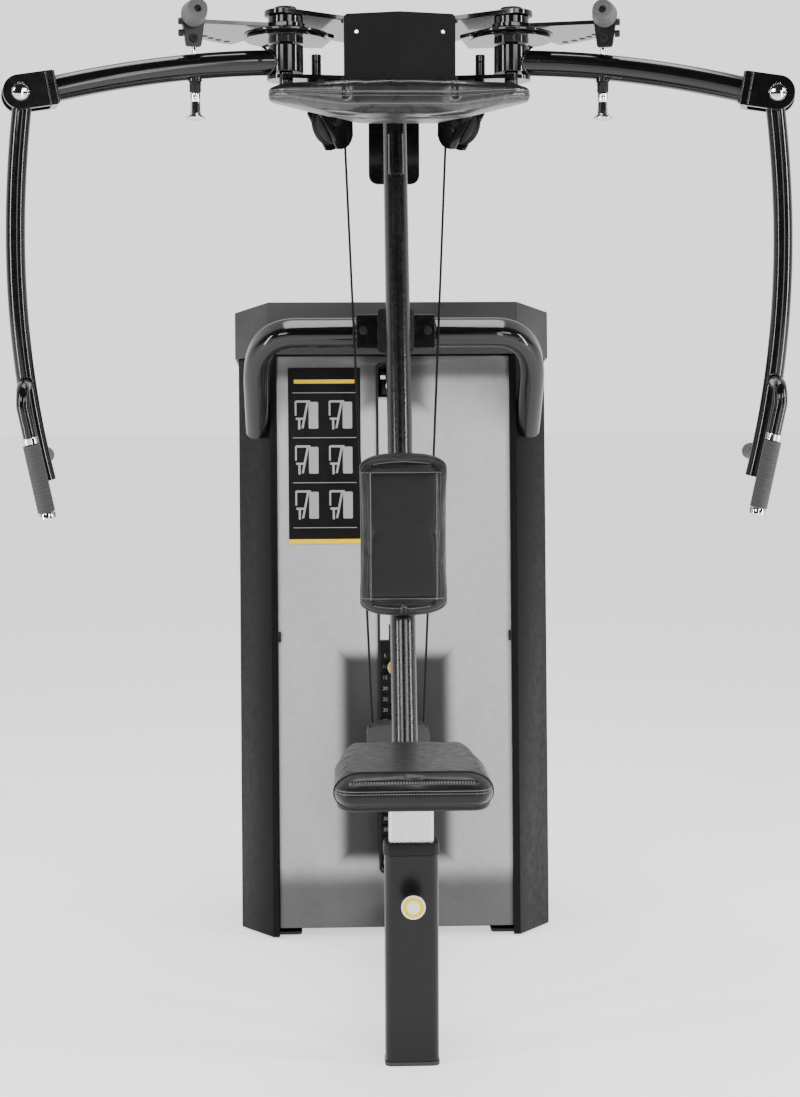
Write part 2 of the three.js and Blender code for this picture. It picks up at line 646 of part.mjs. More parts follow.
function buildForearm(parent, name) {
  const pin = inArm(CLEVIS.radial, CLEVIS.height);
  const curve = new THREE.CubicBezierCurve3(
    inArm(528, 1812),
    inArm(558, 1567),
    inArm(553, 1321),
    inArm(FOREARM.endRadial, FOREARM.endHeight),
  );
  const tube = sweep(curve, circle(FOREARM.tubeRadius), 12, 6);
  const core = sweep(curve, circle(FOREARM.tubeRadius - FOREARM.wall - 1), 5, 3);
  const hubHalf = CLEVIS.earInner - GAP;
  const hub = rod(pin.clone().setY(-hubHalf), pin.clone().setY(hubHalf), FOREARM.hubRadius, 24);
  const pinHole = rod(pin.clone().setY(-40), pin.clone().setY(40), CLEVIS_PIN_RADIUS + GAP, 24);

  // Both handles lie in one upright plane that crosses the forearm.
  const turn = rad(HANDLE.turn);
  const forward = vec(-Math.sin(turn), -Math.cos(turn), 0);
  const weldTop = inArm(529, 1268);
  const slope = vec(30, 0, -146).normalize();
  const elbow = weldTop.clone().addScaledVector(forward, HANDLE.reach - HANDLE.elbow).setZ(1262);
  const bendEnd = weldTop.clone().addScaledVector(forward, HANDLE.reach).setZ(1222);
  const gripTop = bendEnd.clone().addScaledVector(slope, HANDLE.stem);
  const gripBottom = gripTop.clone().addScaledVector(slope, HANDLE.gripLength);
  const handlePath = new THREE.CurvePath();
  handlePath.add(new THREE.LineCurve3(weldTop, elbow));
  handlePath.add(
    new THREE.QuadraticBezierCurve3(elbow, elbow.clone().addScaledVector(forward, 32), bendEnd),
  );
  const bend = sweep(handlePath, circle(HANDLE.radius), 7, 5);
  const stem = rod(bendEnd.clone().addScaledVector(slope, -4), gripTop, HANDLE.radius, 12);
  const ringTop = rod(gripTop.clone().addScaledVector(slope, -14), gripTop, HANDLE.ringRadius, 20);
  const spine = rod(gripTop, gripBottom, PEG.coreRadius, 12);
  const endFace = gripBottom.clone().addScaledVector(slope, 13);
  const ringEnd = rod(gripBottom, endFace, HANDLE.ringRadius, 20);

  const pegRoot = inArm(506, 1130);
  const pegEnd = pegRoot.clone().addScaledVector(forward, -PEG.length).setZ(1124);
  const pegNear = pegRoot.clone().lerp(pegEnd, 0.2);
  const peg = rod(pegRoot, pegEnd, PEG.coreRadius, 12);
  const pegCollar = rod(pegRoot, pegNear, PEG.collarRadius, 20);
  const pegButton = rod(pegEnd, pegRoot.clone().lerp(pegEnd, 1.03), PEG.buttonRadius, 20);
  const solid = without(
    joined(tube.subtract(core), hub, bend, stem, ringTop, spine, ringEnd, peg, pegCollar, pegButton),
    pinHole,
  );
  piece(parent, name + "_forearm", solid, blackPaint());

  const sleeveOf = (from, to, hole) =>
    rod(from, to, GRIP_RADIUS, 20).subtract(
      rod(from.clone().lerp(to, -0.1), from.clone().lerp(to, 1.1), hole, 12),
    );
  const frontGrip = sleeveOf(
    gripTop.clone().addScaledVector(slope, GAP),
    gripBottom.clone().addScaledVector(slope, -GAP),
    9.6,
  );
  piece(parent, name + "_front_grip", frontGrip, rubber());
  const rearGrip = sleeveOf(pegRoot.clone().lerp(pegEnd, 0.21), pegRoot.clone().lerp(pegEnd, 0.995), 9.6);
  piece(parent, name + "_rear_grip", rearGrip, rubber());

  const pinEnd = CLEVIS.earOuter + 5;
  const shaft = rod(pin.clone().setY(-pinEnd), pin.clone().setY(pinEnd), CLEVIS_PIN_RADIUS, 24);
  const rings = [-1, 1].map((side) =>
    rod(
      pin.clone().setY(side * (CLEVIS.earOuter + GAP)),
      pin.clone().setY(side * (CLEVIS.earOuter + 3)),
      17,
      24,
    ),
  );
  piece(parent, name + "_clevis_pin", joined(shaft, ...rings), chrome());
}

// The upper pulley stands in the upright plane that holds the cable's run from the cam and its drop.
function cableFrame() {
  const toPulley = new THREE.Vector2(PIVOT.x - TOP_PULLEY.x, TOP_PULLEY.y - PIVOT.y);
  const heading = toPulley.angle() - Math.asin(CABLE_CAM.radius / toPulley.length());
  const along = vec(Math.cos(heading), Math.sin(heading), 0);
  const axle = vec(-along.y, along.x, 0);
  const centre = vec(-TOP_PULLEY.x, TOP_PULLEY.y, TOP_PULLEY.z);
  const camEdge = vec(-PIVOT.x, PIVOT.y, CABLE_CAM.bottom + 12).addScaledVector(axle, CABLE_CAM.radius);
  return { along, axle, centre, camEdge };
}

// The cable's centre line: off the cam, over the upper pulley, down to the lower housing.
function cableRoute() {
  const { along, centre, camEdge } = cableFrame();
  const points = [camEdge.clone().addScaledVector(along, 4)];
  for (let step = 0; step <= 3; step += 1) {
    const angle = rad(66 - step * 22);
    points.push(
      centre
        .clone()
        .addScaledVector(along, TOP_PULLEY.radius * Math.cos(angle))
        .setZ(TOP_PULLEY.z + TOP_PULLEY.radius * Math.sin(angle)),
    );
  }
  points.push(vec(-CABLE_DROP_FOOT_X, LOWER_HOUSING.y, LOWER_HOUSING.top + GAP));
  return points;
}

// Round rods from point to point, with a ball's worth of overlap at each corner.
function cableSolid(points, radius, sides = 6) {
  const runs = points.slice(1).map((point, i) => {
    const back = points[i].clone().sub(point).setLength(i === 0 ? 0 : radius * 0.6);
    return rod(points[i].clone().add(back), point, radius, sides);
  });
  return joined(...runs);
}

function buildTopPulley(parent, name) {
  const { along, axle, centre } = cableFrame();
  const offset = (distance) => centre.clone().addScaledVector(axle, distance);
  const half = TOP_PULLEY.width / 2;
  const floor = TOP_PULLEY.radius - CABLE_RADIUS - 1;
  const flanges = [-half, half - 6].map((start) =>
    rod(offset(start), offset(start + 6), TOP_PULLEY.radius + 2, 24),
  );
  const wheel = joined(rod(offset(-half), offset(half), floor, 24), ...flanges);
  const bore = rod(offset(-30), offset(30), AXLE_RADIUS + GAP, 12);
  piece(parent, name + "_top_pulley", wheel.subtract(bore), blackPlastic());

  const plateTop = BOTTOM_PLATE.bottom - GAP - TOP_PULLEY.z;
  const cheek = new THREE.Shape();
  cheek.moveTo(-50, plateTop);
  cheek.lineTo(-52, 12);
  cheek.lineTo(4, -58);
  cheek.quadraticCurveTo(44, -58, 54, -24);
  cheek.lineTo(52, plateTop);
  cheek.closePath();
  const facing = new THREE.Matrix4()
    .makeTranslation(centre.x, centre.y, centre.z)
    .multiply(new THREE.Matrix4().makeBasis(along, vec(0, 0, 1), axle.clone().negate()));
  const plates = [-half - 6, half + 2].map((start) => {
    const geometry = new THREE.ExtrudeGeometry(cheek, { depth: 4, bevelEnabled: false, curveSegments: 5 });
    geometry.translate(0, 0, -start - 4);
    return toSolid(geometry.applyMatrix4(facing));
  });
  const axleRod = rod(offset(-half - 4), offset(half + 4), AXLE_RADIUS, 12);
  const flangeTabs = [-half - 24, half + 2].map((start) => {
    const tab = new THREE.BoxGeometry(90, 6, 22);
    tab.translate(0, plateTop - 3, -start - 11);
    return toSolid(tab.applyMatrix4(facing));
  });
  piece(parent, name + "_pulley_guard", joined(...plates, axleRod, ...flangeTabs), blackPaint());
}

// ---- lower pulley housing and weight tower ----
function shellOutline(side, inset) {
  const front = 275;
  return [
    [side * front, inset],
    [side * (TOWER.frontHalfWidth - inset * 0.4), inset],
    [side * (TOWER.halfWidth - inset), TOWER.chamfer + inset * 0.4],
    [side * (TOWER.halfWidth - inset), TOWER.depth - 60 - inset * 0.4],
    [side * (TOWER.halfWidth - 60 - inset * 0.4), TOWER.depth - inset],
    [side * front, TOWER.depth - inset],
  ];
}

function buildTower(frame) {
  const tower = new THREE.Group();
  tower.position.set(0, TOWER.y, 0);
  tower.rotation.x = -rad(TOWER.lean);
  frame.add(tower);

  // Everything below the floor line is trimmed away, in the tower's own leaning frame.
  const under = new THREE.BoxGeometry(1200, 1400, 300);
  under.translate(0, 200, -146);
  under.applyMatrix4(towerMatrix.clone().invert());
  const underFloor = toSolid(under);

  [-1, 1].forEach((side) => {
    const name = side < 0 ? "left" : "right";
    const outline = [...shellOutline(side, 0), ...shellOutline(side, SHELL.thickness).reverse()];
    const shell = slab(polygon(side > 0 ? outline : outline.slice().reverse()), -40, SHELL.top);
    const lips = [0, TOWER.depth - 16].map((y) =>
      block(
        side > 0 ? [270, y, -40] : [-SHELL.thickness - 270, y, -40],
        side > 0 ? [270 + SHELL.thickness + 1, y + 16, SHELL.top] : [-270, y + 16, SHELL.top],
      ),
    );
    piece(tower, name + "_tower_shell", without(joined(shell, ...lips), underFloor), charcoalPaint());
  });

  const inset = 6;
  const panelBottom = 24;
  const panelHalf = 270 - GAP;
  const slot = slab(
    roundedRectangle(
      2 * SLOT.halfWidth,
      SLOT.top - SLOT.bottom,
      12,
      0,
      (SLOT.top + SLOT.bottom) / 2,
    ),
    -20,
    20,
  ).rotate([90, 0, 0]);
  const front = block([-panelHalf, inset, panelBottom], [panelHalf, inset + 5, SHELL.top - 2]);
  const railNotch = block(
    [-RAIL.width / 2 - 2, inset - 5, 0],
    [RAIL.width / 2 + 2, inset + 10, RAIL.height + 4],
  );
  piece(tower, "front_panel", without(front, moved(slot, 0, inset, 0), railNotch), frostedPanel());
  const rear = block(
    [-panelHalf, TOWER.depth - inset - 4, panelBottom + 30],
    [panelHalf, TOWER.depth - inset, SHELL.top - 2],
  );
  piece(tower, "rear_panel", rear, charcoalPaint());

  // A shallow roof: the lid's corners drop a little towards the chamfers.
  const grow = CAP.overhang;
  const capOutline = (extra) =>
    polygon([
      [-(TOWER.frontHalfWidth + extra * 0.5), -extra],
      [TOWER.frontHalfWidth + extra * 0.5, -extra],
      [TOWER.halfWidth + extra, TOWER.chamfer - extra * 0.5],
      [TOWER.halfWidth + extra, TOWER.depth - 60 + extra * 0.5],
      [TOWER.halfWidth - 60 + extra * 0.5, TOWER.depth + extra],
      [-(TOWER.halfWidth - 60 + extra * 0.5), TOWER.depth + extra],
      [-(TOWER.halfWidth + extra), TOWER.depth - 60 + extra * 0.5],
      [-(TOWER.halfWidth + extra), TOWER.chamfer - extra * 0.5],
    ]);
  const lid = slab(capOutline(grow), CAP.bottom, CAP.top - 4);
  const raised = slab(capOutline(-24), CAP.top - 5, CAP.top);
  const hollow = slab(capOutline(grow - 6), CAP.bottom - 1, CAP.top - 24);
  const slopes = [-1, 1].map((side) => {
    const wedge = new THREE.BoxGeometry(200, 700, 40);
    wedge.translate(side * 100, 0, 20);
    wedge.rotateY(side * Math.atan(CAP.chamferDrop / (TOWER.halfWidth - TOWER.frontHalfWidth)));
    wedge.translate(side * TOWER.frontHalfWidth, 210, CAP.top - 4);
    return toSolid(wedge);
  });
  piece(tower, "tower_cap", without(joined(lid, raised), hollow, ...slopes), satinGrey());

  // Inner frame: a lower and an upper cross channel hold the guide rods.
  const stackBack = STACK.y + STACK.plateDepth;
  const midY = STACK.y + STACK.plateDepth / 2;
  const rodHoles = (z0, z1) =>
    [-1, 1].map((side) => upright(side * ROD.x, midY, z0, z1, ROD.radius + GAP, 16));
  const upperBar = joined(
    block([-268, midY - 30, 1290], [268, midY + 30, 1298]),
    block([-268, midY - 30, 1290], [-260, midY + 30, 1338]),
    block([260, midY - 30, 1290], [268, midY + 30, 1338]),
    block([-34, midY + 4, 1297], [-26, midY + 62, 1336]),
    block([26, midY + 4, 1297], [34, midY + 62, 1336]),
  );
  const cableGap = block([-20, midY - 12, 1280], [20, midY + 31, 1300]);
  const wheelCentre = vec(0, midY + HEAD_PULLEY.radius, HEAD_PULLEY.z);
  const wheelPin = rod(wheelCentre.clone().setX(-33), wheelCentre.clone().setX(33), AXLE_RADIUS, 12);
  const addOnShelf = joined(
    block([-60, 40, 1250], [60, midY - 28, 1256]),
    block([-60, midY - 34, 1250], [60, midY - 28, 1296]),
  );
  piece(
    tower,
    "upper_crossbar",
    without(joined(upperBar, wheelPin, addOnShelf), cableGap, ...rodHoles(1280, 1300)),
    blackPaint(),
  );
  const lowerBar = block([-130, midY - 40, 104], [130, midY + 40, 114]);
  const uprightWebs = [-120, 112].map((x) => block([x, midY - 30, 80], [x + 8, midY + 30, 105]));
  piece(
    tower,
    "stack_shelf",
    without(joined(lowerBar, ...uprightWebs), ...rodHoles(80, 120)),
    blackPaint(),
  );

  [-1, 1].forEach((side) => {
    const name = side < 0 ? "left" : "right";
    piece(
      tower,
      name + "_guide_rod",
      upright(side * ROD.x, midY, 98, 1310, ROD.radius, 14),
      chrome(),
    );
  });
  const cushion = block([-120, midY - 26, 114 + GAP], [120, midY + 26, STACK.bottom - GAP]);
  piece(tower, "stack_cushion", without(cushion, ...rodHoles(90, 160)), rubber());

  // Weight plates: each has a groove line at its edges; the resting ones are one block of iron.
  const plateStack = (z0, count) => {
    const height = count * STACK.plate;
    const body = block(
      [-STACK.width / 2 + 2, STACK.y + 2, z0],
      [STACK.width / 2 - 2, stackBack - 2, z0 + height],
    );
    const rims = [];
    for (let index = 0; index < count; index += 1) {
      const z = z0 + index * STACK.plate;
      rims.push(
        block(
          [-STACK.width / 2, STACK.y, z + 0.8],
          [STACK.width / 2, stackBack, z + STACK.plate - 0.8],
        ),
      );
    }
    return joined(body, ...rims);
  };
  const resting = STACK.plates - STACK.lifted;
  const restingTop = STACK.bottom + resting * STACK.plate;
  const stemBore = upright(0, midY, 60, restingTop + 10, 14, 16);
  piece(
    tower,
    "resting_plates",
    without(
      plateStack(STACK.bottom, resting),
      stemBore,
      ...[-1, 1].map((side) => upright(side * ROD.x, midY, 100, restingTop + 10, ROD.radius + 1, 16)),
    ),
    ironPlate(),
  );

  const liftedBottom = restingTop + GAP;
  const liftedTop = liftedBottom + STACK.lifted * STACK.plate;
  const head = block(
    [-STACK.width / 2 + 6, STACK.y + 6, liftedTop - 1],
    [STACK.width / 2 - 6, stackBack - 6, liftedTop + 22],
  );
  const stem = upright(0, midY, STACK.bottom + 60, liftedTop, 12, 16);
  const eye = upright(0, midY, liftedTop, liftedTop + 60, 11, 12);
  const pinZ = liftedBottom + 0.5 * STACK.plate;
  const pinBore = block([-5.5, STACK.y - 10, pinZ - 5.5], [5.5, midY + 8, pinZ + 5.5]);
  const lifted = without(
    joined(plateStack(liftedBottom, STACK.lifted), head, stem, eye),
    ...[-1, 1].map((side) =>
      upright(side * ROD.x, midY, liftedBottom - 10, liftedTop + 30, ROD.radius + 1, 16),
    ),
    pinBore,
  );
  piece(tower, "lifted_plates", lifted, ironPlate());

  const pinShaft = rod(vec(0, STACK.y - 18, pinZ), vec(0, midY + 4, pinZ), 5, 12);
  const pinHead = rod(vec(0, STACK.y - 6, pinZ), vec(0, STACK.y - 34, pinZ), 18, 24, 17);
  piece(tower, "selector_pin", joined(pinShaft, pinHead), chrome());

  const headCableTop = 1322;
  const eyeTop = liftedTop + 60 + GAP;
  piece(
    tower,
    "stack_cable",
    upright(0, midY, eyeTop, headCableTop, CABLE_RADIUS, 8),
    steelCable(),
  );

  const wheel = rod(
    wheelCentre.clone().setX(-HEAD_PULLEY.halfWidth),
    wheelCentre.clone().setX(HEAD_PULLEY.halfWidth),
    HEAD_PULLEY.radius - CABLE_RADIUS - 1,
    20,
  );
  const wheelBore = rod(
    wheelCentre.clone().setX(-30),
    wheelCentre.clone().setX(30),
    AXLE_RADIUS + GAP,
    12,
  );
  piece(tower, "head_pulley", wheel.subtract(wheelBore), blackPlastic());

  // The add-on weight hangs on a shelf near the top of the slot, with its own pull knob.
  const addOn = block([-26, 42, 1256 + GAP], [26, midY - 34 - GAP, 1290]);
  const addOnStem = rod(vec(-4, 46, 1274), vec(-4, 24, 1274), 6, 12);
  const addOnKnob = rod(vec(-4, 30, 1274), vec(-4, 14, 1274), 13, 20);
  piece(tower, "add_on_weight", joined(addOn, addOnStem, addOnKnob), ironPlate());
}

function buildLowerHousing(frame) {
  const { width, depth, bottom, top, y } = LOWER_HOUSING;
  const outline = roundedRectangle(width, top - bottom, 24, 0, (top + bottom) / 2);
  const shell = slab(outline, -depth / 2, depth / 2, 3).rotate([90, 0, 0]);
  const cavity = block([-width / 2 + 5, -depth / 2 + 5, bottom + 5], [width / 2 - 5, depth, top - 5]);
  const holes = [-1, 1].map((side) => upright(side * CABLE_DROP_FOOT_X, 0, top - 10, top + 10, 6, 10));
  const housing = moved(without(shell, cavity, ...holes), 0, y, 0);
  piece(frame, "lower_pulley_housing", housing, blackPlastic());
}

const machine = new THREE.Group();
buildBase(machine);
buildMast(machine);
buildCrossTube(machine);
buildBoom(machine);
buildLowerHousing(machine);
buildTower(machine);
[-1, 1].forEach((side) => {
  const name = side < 0 ? "left" : "right";
  const mirrored = new THREE.Group();
  mirrored.scale.x = -side;
  machine.add(mirrored);
  const arm = new THREE.Group();
  arm.position.set(-PIVOT.x, PIVOT.y, 0);
  arm.rotation.z = rad(ARM.swing);
  mirrored.add(arm);
  buildCam(arm, name);
  buildArm(arm, name);
  buildForearm(arm, name);
  buildTopPulley(mirrored, name);
  piece(mirrored, name + "_cable", cableSolid(cableRoute(), CABLE_RADIUS), steelCable());
});

export default machine;
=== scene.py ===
import json
import math
import random

import bmesh
import bpy
from mathutils import Matrix, Vector
from mathutils.bvhtree import BVHTree
from mathutils.kdtree import KDTree


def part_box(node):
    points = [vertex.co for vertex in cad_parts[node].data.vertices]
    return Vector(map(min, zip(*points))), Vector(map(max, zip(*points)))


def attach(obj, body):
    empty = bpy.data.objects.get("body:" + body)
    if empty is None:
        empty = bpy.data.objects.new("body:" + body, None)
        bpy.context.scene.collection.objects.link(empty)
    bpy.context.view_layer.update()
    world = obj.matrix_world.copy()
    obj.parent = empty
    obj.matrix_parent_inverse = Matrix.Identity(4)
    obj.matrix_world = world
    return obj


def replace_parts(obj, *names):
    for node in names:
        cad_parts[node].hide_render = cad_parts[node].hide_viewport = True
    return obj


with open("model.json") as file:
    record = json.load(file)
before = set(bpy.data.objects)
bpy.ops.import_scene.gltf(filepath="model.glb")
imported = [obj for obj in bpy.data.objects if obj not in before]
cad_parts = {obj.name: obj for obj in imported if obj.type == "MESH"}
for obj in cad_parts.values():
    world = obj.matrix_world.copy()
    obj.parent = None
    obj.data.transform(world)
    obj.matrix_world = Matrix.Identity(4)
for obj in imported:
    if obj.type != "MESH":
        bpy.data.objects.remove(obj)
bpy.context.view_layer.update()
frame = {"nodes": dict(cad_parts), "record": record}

# Shapes are worked out in millimetres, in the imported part's frame, and become metres when they are made.
MM = 0.001
SIDES = {"left": -1, "right": 1}


def box_mm(node):
    """A CAD node's lowest and highest corners, in millimetres."""
    low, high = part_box(node)
    return low / MM, high / MM


def middle(node):
    low, high = box_mm(node)
    return (low + high) / 2


# ---------------------------------------------------------------- camera, light and floor
CAMERA_PLACE = Vector((-0.136, -4.075, 1.220))
CAMERA_YAW, CAMERA_PITCH, CAMERA_ROLL = math.radians(1.95), math.radians(4.27), math.radians(0.28)
FRAME_HEIGHT, FOCAL, SENSOR = 1097, 1900, 36.0


def make_camera():
    data = bpy.data.cameras.new("camera")
    data.sensor_width = SENSOR
    data.lens = FOCAL / FRAME_HEIGHT * SENSOR
    camera = bpy.data.objects.new("camera", data)
    level = Vector((math.cos(CAMERA_YAW), -math.sin(CAMERA_YAW), 0))
    forward = Vector(
        (
            math.sin(CAMERA_YAW) * math.cos(CAMERA_PITCH),
            math.cos(CAMERA_YAW) * math.cos(CAMERA_PITCH),
            -math.sin(CAMERA_PITCH),
        )
    )
    above = level.cross(forward)
    right = level * math.cos(CAMERA_ROLL) - above * math.sin(CAMERA_ROLL)
    up = above * math.cos(CAMERA_ROLL) + level * math.sin(CAMERA_ROLL)
    turn = Matrix((right, up, -forward)).transposed().to_4x4()
    camera.matrix_world = Matrix.Translation(CAMERA_PLACE) @ turn
    bpy.context.scene.collection.objects.link(camera)
    bpy.context.scene.camera = camera


def area_light(name, place, target, width, height, power):
    data = bpy.data.lights.new(name, "AREA")
    data.shape = "RECTANGLE"
    data.size, data.size_y, data.energy = width, height, power
    light = bpy.data.objects.new(name, data)
    light.location = place
    light.rotation_euler = (Vector(target) - Vector(place)).to_track_quat("-Z", "Y").to_euler()
    bpy.context.scene.collection.objects.link(light)


# Brightness of the surroundings against direction, from in front of the machine (0) to behind it (1).
SURROUNDINGS = ((0.0, 0.02), (0.3, 0.03), (0.46, 0.3), (0.6, 1.2), (1.0, 1.0))
BACKDROP_STRENGTH, FLOOR_GLOW, FLOOR_REACH = 1.66, 0.98, 80
# Each light's name, place, aim, width, height (metres) and power (watts).
LIGHTS = (
    ("strip_left", (-2.7, -1.7, 1.5), (0, 0, 1.1), 0.22, 2.6, 60),
    ("strip_right", (2.7, -1.3, 1.5), (0, 0, 1.1), 0.22, 2.6, 66),
    ("front_left", (-2.4, -4.6, 3.4), (0, 0, 0.9), 1.6, 1.2, 62),
    ("front_right", (2.4, -4.6, 3.4), (0, 0, 0.9), 1.6, 1.2, 54),
    ("narrow_strip", (1.15, -4.4, 1.7), (0, -0.3, 1.2), 0.5, 2.4, 26),
    ("overhead", (0, 0.2, 4.6), (0, 0, 1.0), 2.4, 1.6, 90),
)


def make_studio():
    world = bpy.data.worlds.new("studio")
    bpy.context.scene.world = world
    world.use_nodes = True
    nodes, links = world.node_tree.nodes, world.node_tree.links
    background = nodes["Background"]
    place = nodes.new("ShaderNodeTexCoord")
    axes = nodes.new("ShaderNodeSeparateXYZ")
    spread = nodes.new("ShaderNodeMapRange")
    spread.inputs["From Min"].default_value = -1
    ramp = nodes.new("ShaderNodeValToRGB")
    while len(ramp.color_ramp.elements) < len(SURROUNDINGS):
        ramp.color_ramp.elements.new(0.5)
    for element, (position, level) in zip(ramp.color_ramp.elements, SURROUNDINGS):
        element.position = position
        element.color = (level, level, level, 1)
    links.new(place.outputs["Generated"], axes.inputs["Vector"])
    links.new(axes.outputs["Y"], spread.inputs["Value"])
    links.new(spread.outputs["Result"], ramp.inputs["Fac"])
    links.new(ramp.outputs["Color"], background.inputs["Color"])
    backdrop = nodes.new("ShaderNodeBackground")
    backdrop.inputs["Color"].default_value = (1.0, 1.0, 1.0, 1.0)
    backdrop.inputs["Strength"].default_value = BACKDROP_STRENGTH
    path = nodes.new("ShaderNodeLightPath")
    choice = nodes.new("ShaderNodeMixShader")
    links.new(path.outputs["Is Camera Ray"], choice.inputs["Fac"])
    links.new(background.outputs["Background"], choice.inputs[1])
    links.new(backdrop.outputs["Background"], choice.inputs[2])
    links.new(choice.outputs["Shader"], nodes["World Output"].inputs["Surface"])
    for light in LIGHTS:
        area_light(*light)
    mesh = bpy.data.meshes.new("floor")
    corners = [(x * FLOOR_REACH, y * FLOOR_REACH, 0) for x, y in ((-1, -1), (1, -1), (1, 1), (-1, 1))]
    mesh.from_pydata(corners, [], [(0, 1, 2, 3)])
    floor = bpy.data.objects.new("floor", mesh)
    bpy.context.scene.collection.objects.link(floor)
    pale = surface(
        "studio_floor", (0.9, 0.9, 0.9), 0.9, rough_change=0.04, rough_scale=0.5, color_change=0.01
    )
    shader = pale.node_tree.nodes["Principled BSDF"]
    shader.inputs["Emission Color"].default_value = (1.0, 1.0, 1.0, 1.0)
    shader.inputs["Emission Strength"].default_value = FLOOR_GLOW
    shader.inputs["Specular IOR Level"].default_value = 0.0
    mesh.materials.append(pale)


# ---------------------------------------------------------------- materials
def surface(
    name, color, roughness, metallic=0.0, coat=0.0, coat_roughness=0.1, sheen=0.0, specular=0.5,
    rough_change=0.05, rough_scale=60, color_change=0.15, grain=(), stretch=(1, 1, 1),
):
    """A procedural finish: grain holds (pattern, scale per metre, depth in mm) for each layer of bump."""
    made = bpy.data.materials.new(name)
    made.use_nodes = True
    nodes, links = made.node_tree.nodes, made.node_tree.links
    shader = nodes["Principled BSDF"]
    shader.inputs["Metallic"].default_value = metallic
    shader.inputs["Coat Weight"].default_value = coat
    shader.inputs["Coat Roughness"].default_value = coat_roughness
    shader.inputs["Sheen Weight"].default_value = sheen
    shader.inputs["Specular IOR Level"].default_value = specular
    place = nodes.new("ShaderNodeTexCoord")
    mapping = nodes.new("ShaderNodeMapping")
    mapping.inputs["Scale"].default_value = stretch
    links.new(place.outputs["Object"], mapping.inputs["Vector"])

    cloud = nodes.new("ShaderNodeTexNoise")
    cloud.inputs["Scale"].default_value = rough_scale
    cloud.inputs["Detail"].default_value = 6
    links.new(mapping.outputs["Vector"], cloud.inputs["Vector"])
    spread = nodes.new("ShaderNodeMapRange")
    spread.inputs["From Min"].default_value = 0.3
    spread.inputs["From Max"].default_value = 0.7
    spread.inputs["To Min"].default_value = max(0.02, roughness - rough_change)
    spread.inputs["To Max"].default_value = roughness + rough_change
    links.new(cloud.outputs["Fac"], spread.inputs["Value"])
    links.new(spread.outputs["Result"], shader.inputs["Roughness"])

    shade = nodes.new("ShaderNodeMix")
    shade.data_type = "RGBA"
    shade.inputs[6].default_value = (*[c * (1 - color_change) for c in color], 1)
    shade.inputs[7].default_value = (*[min(1, c * (1 + color_change)) for c in color], 1)
    links.new(cloud.outputs["Fac"], shade.inputs[0])
    links.new(shade.outputs[2], shader.inputs["Base Color"])

    below = None
    for pattern, scale, depth in grain:
        if pattern == "cells":
            texture = nodes.new("ShaderNodeTexVoronoi")
            height = texture.outputs["Distance"]
        else:
            texture = nodes.new("ShaderNodeTexNoise")
            texture.inputs["Detail"].default_value = 3
            height = texture.outputs["Fac"]
        texture.inputs["Scale"].default_value = scale
        links.new(mapping.outputs["Vector"], texture.inputs["Vector"])
        bump = nodes.new("ShaderNodeBump")
        bump.inputs["Distance"].default_value = depth * MM
        bump.inputs["Strength"].default_value = 1.0
        links.new(height, bump.inputs["Height"])
        if below:
            links.new(below.outputs["Normal"], bump.inputs["Normal"])
        below = bump
    if below:
        links.new(below.outputs["Normal"], shader.inputs["Normal"])
    return made


def soft_step(nodes, links, value, low, high):
    """0 below low and 1 above high, smoothly."""
    step = nodes.new("ShaderNodeMapRange")
    step.interpolation_type = "SMOOTHERSTEP"
    step.inputs["From Min"].default_value = low
    step.inputs["From Max"].default_value = high
    links.new(value, step.inputs["Value"])
    return step.outputs["Result"]


def combine(nodes, links, operation, first, second):
    made = nodes.new("ShaderNodeMath")
    made.operation = operation
    made.use_clamp = True
    for socket, value in zip(made.inputs, (first, second)):
        if isinstance(value, (int, float)):
            socket.default_value = value
        else:
            links.new(value, socket)
    return made.outputs[0]


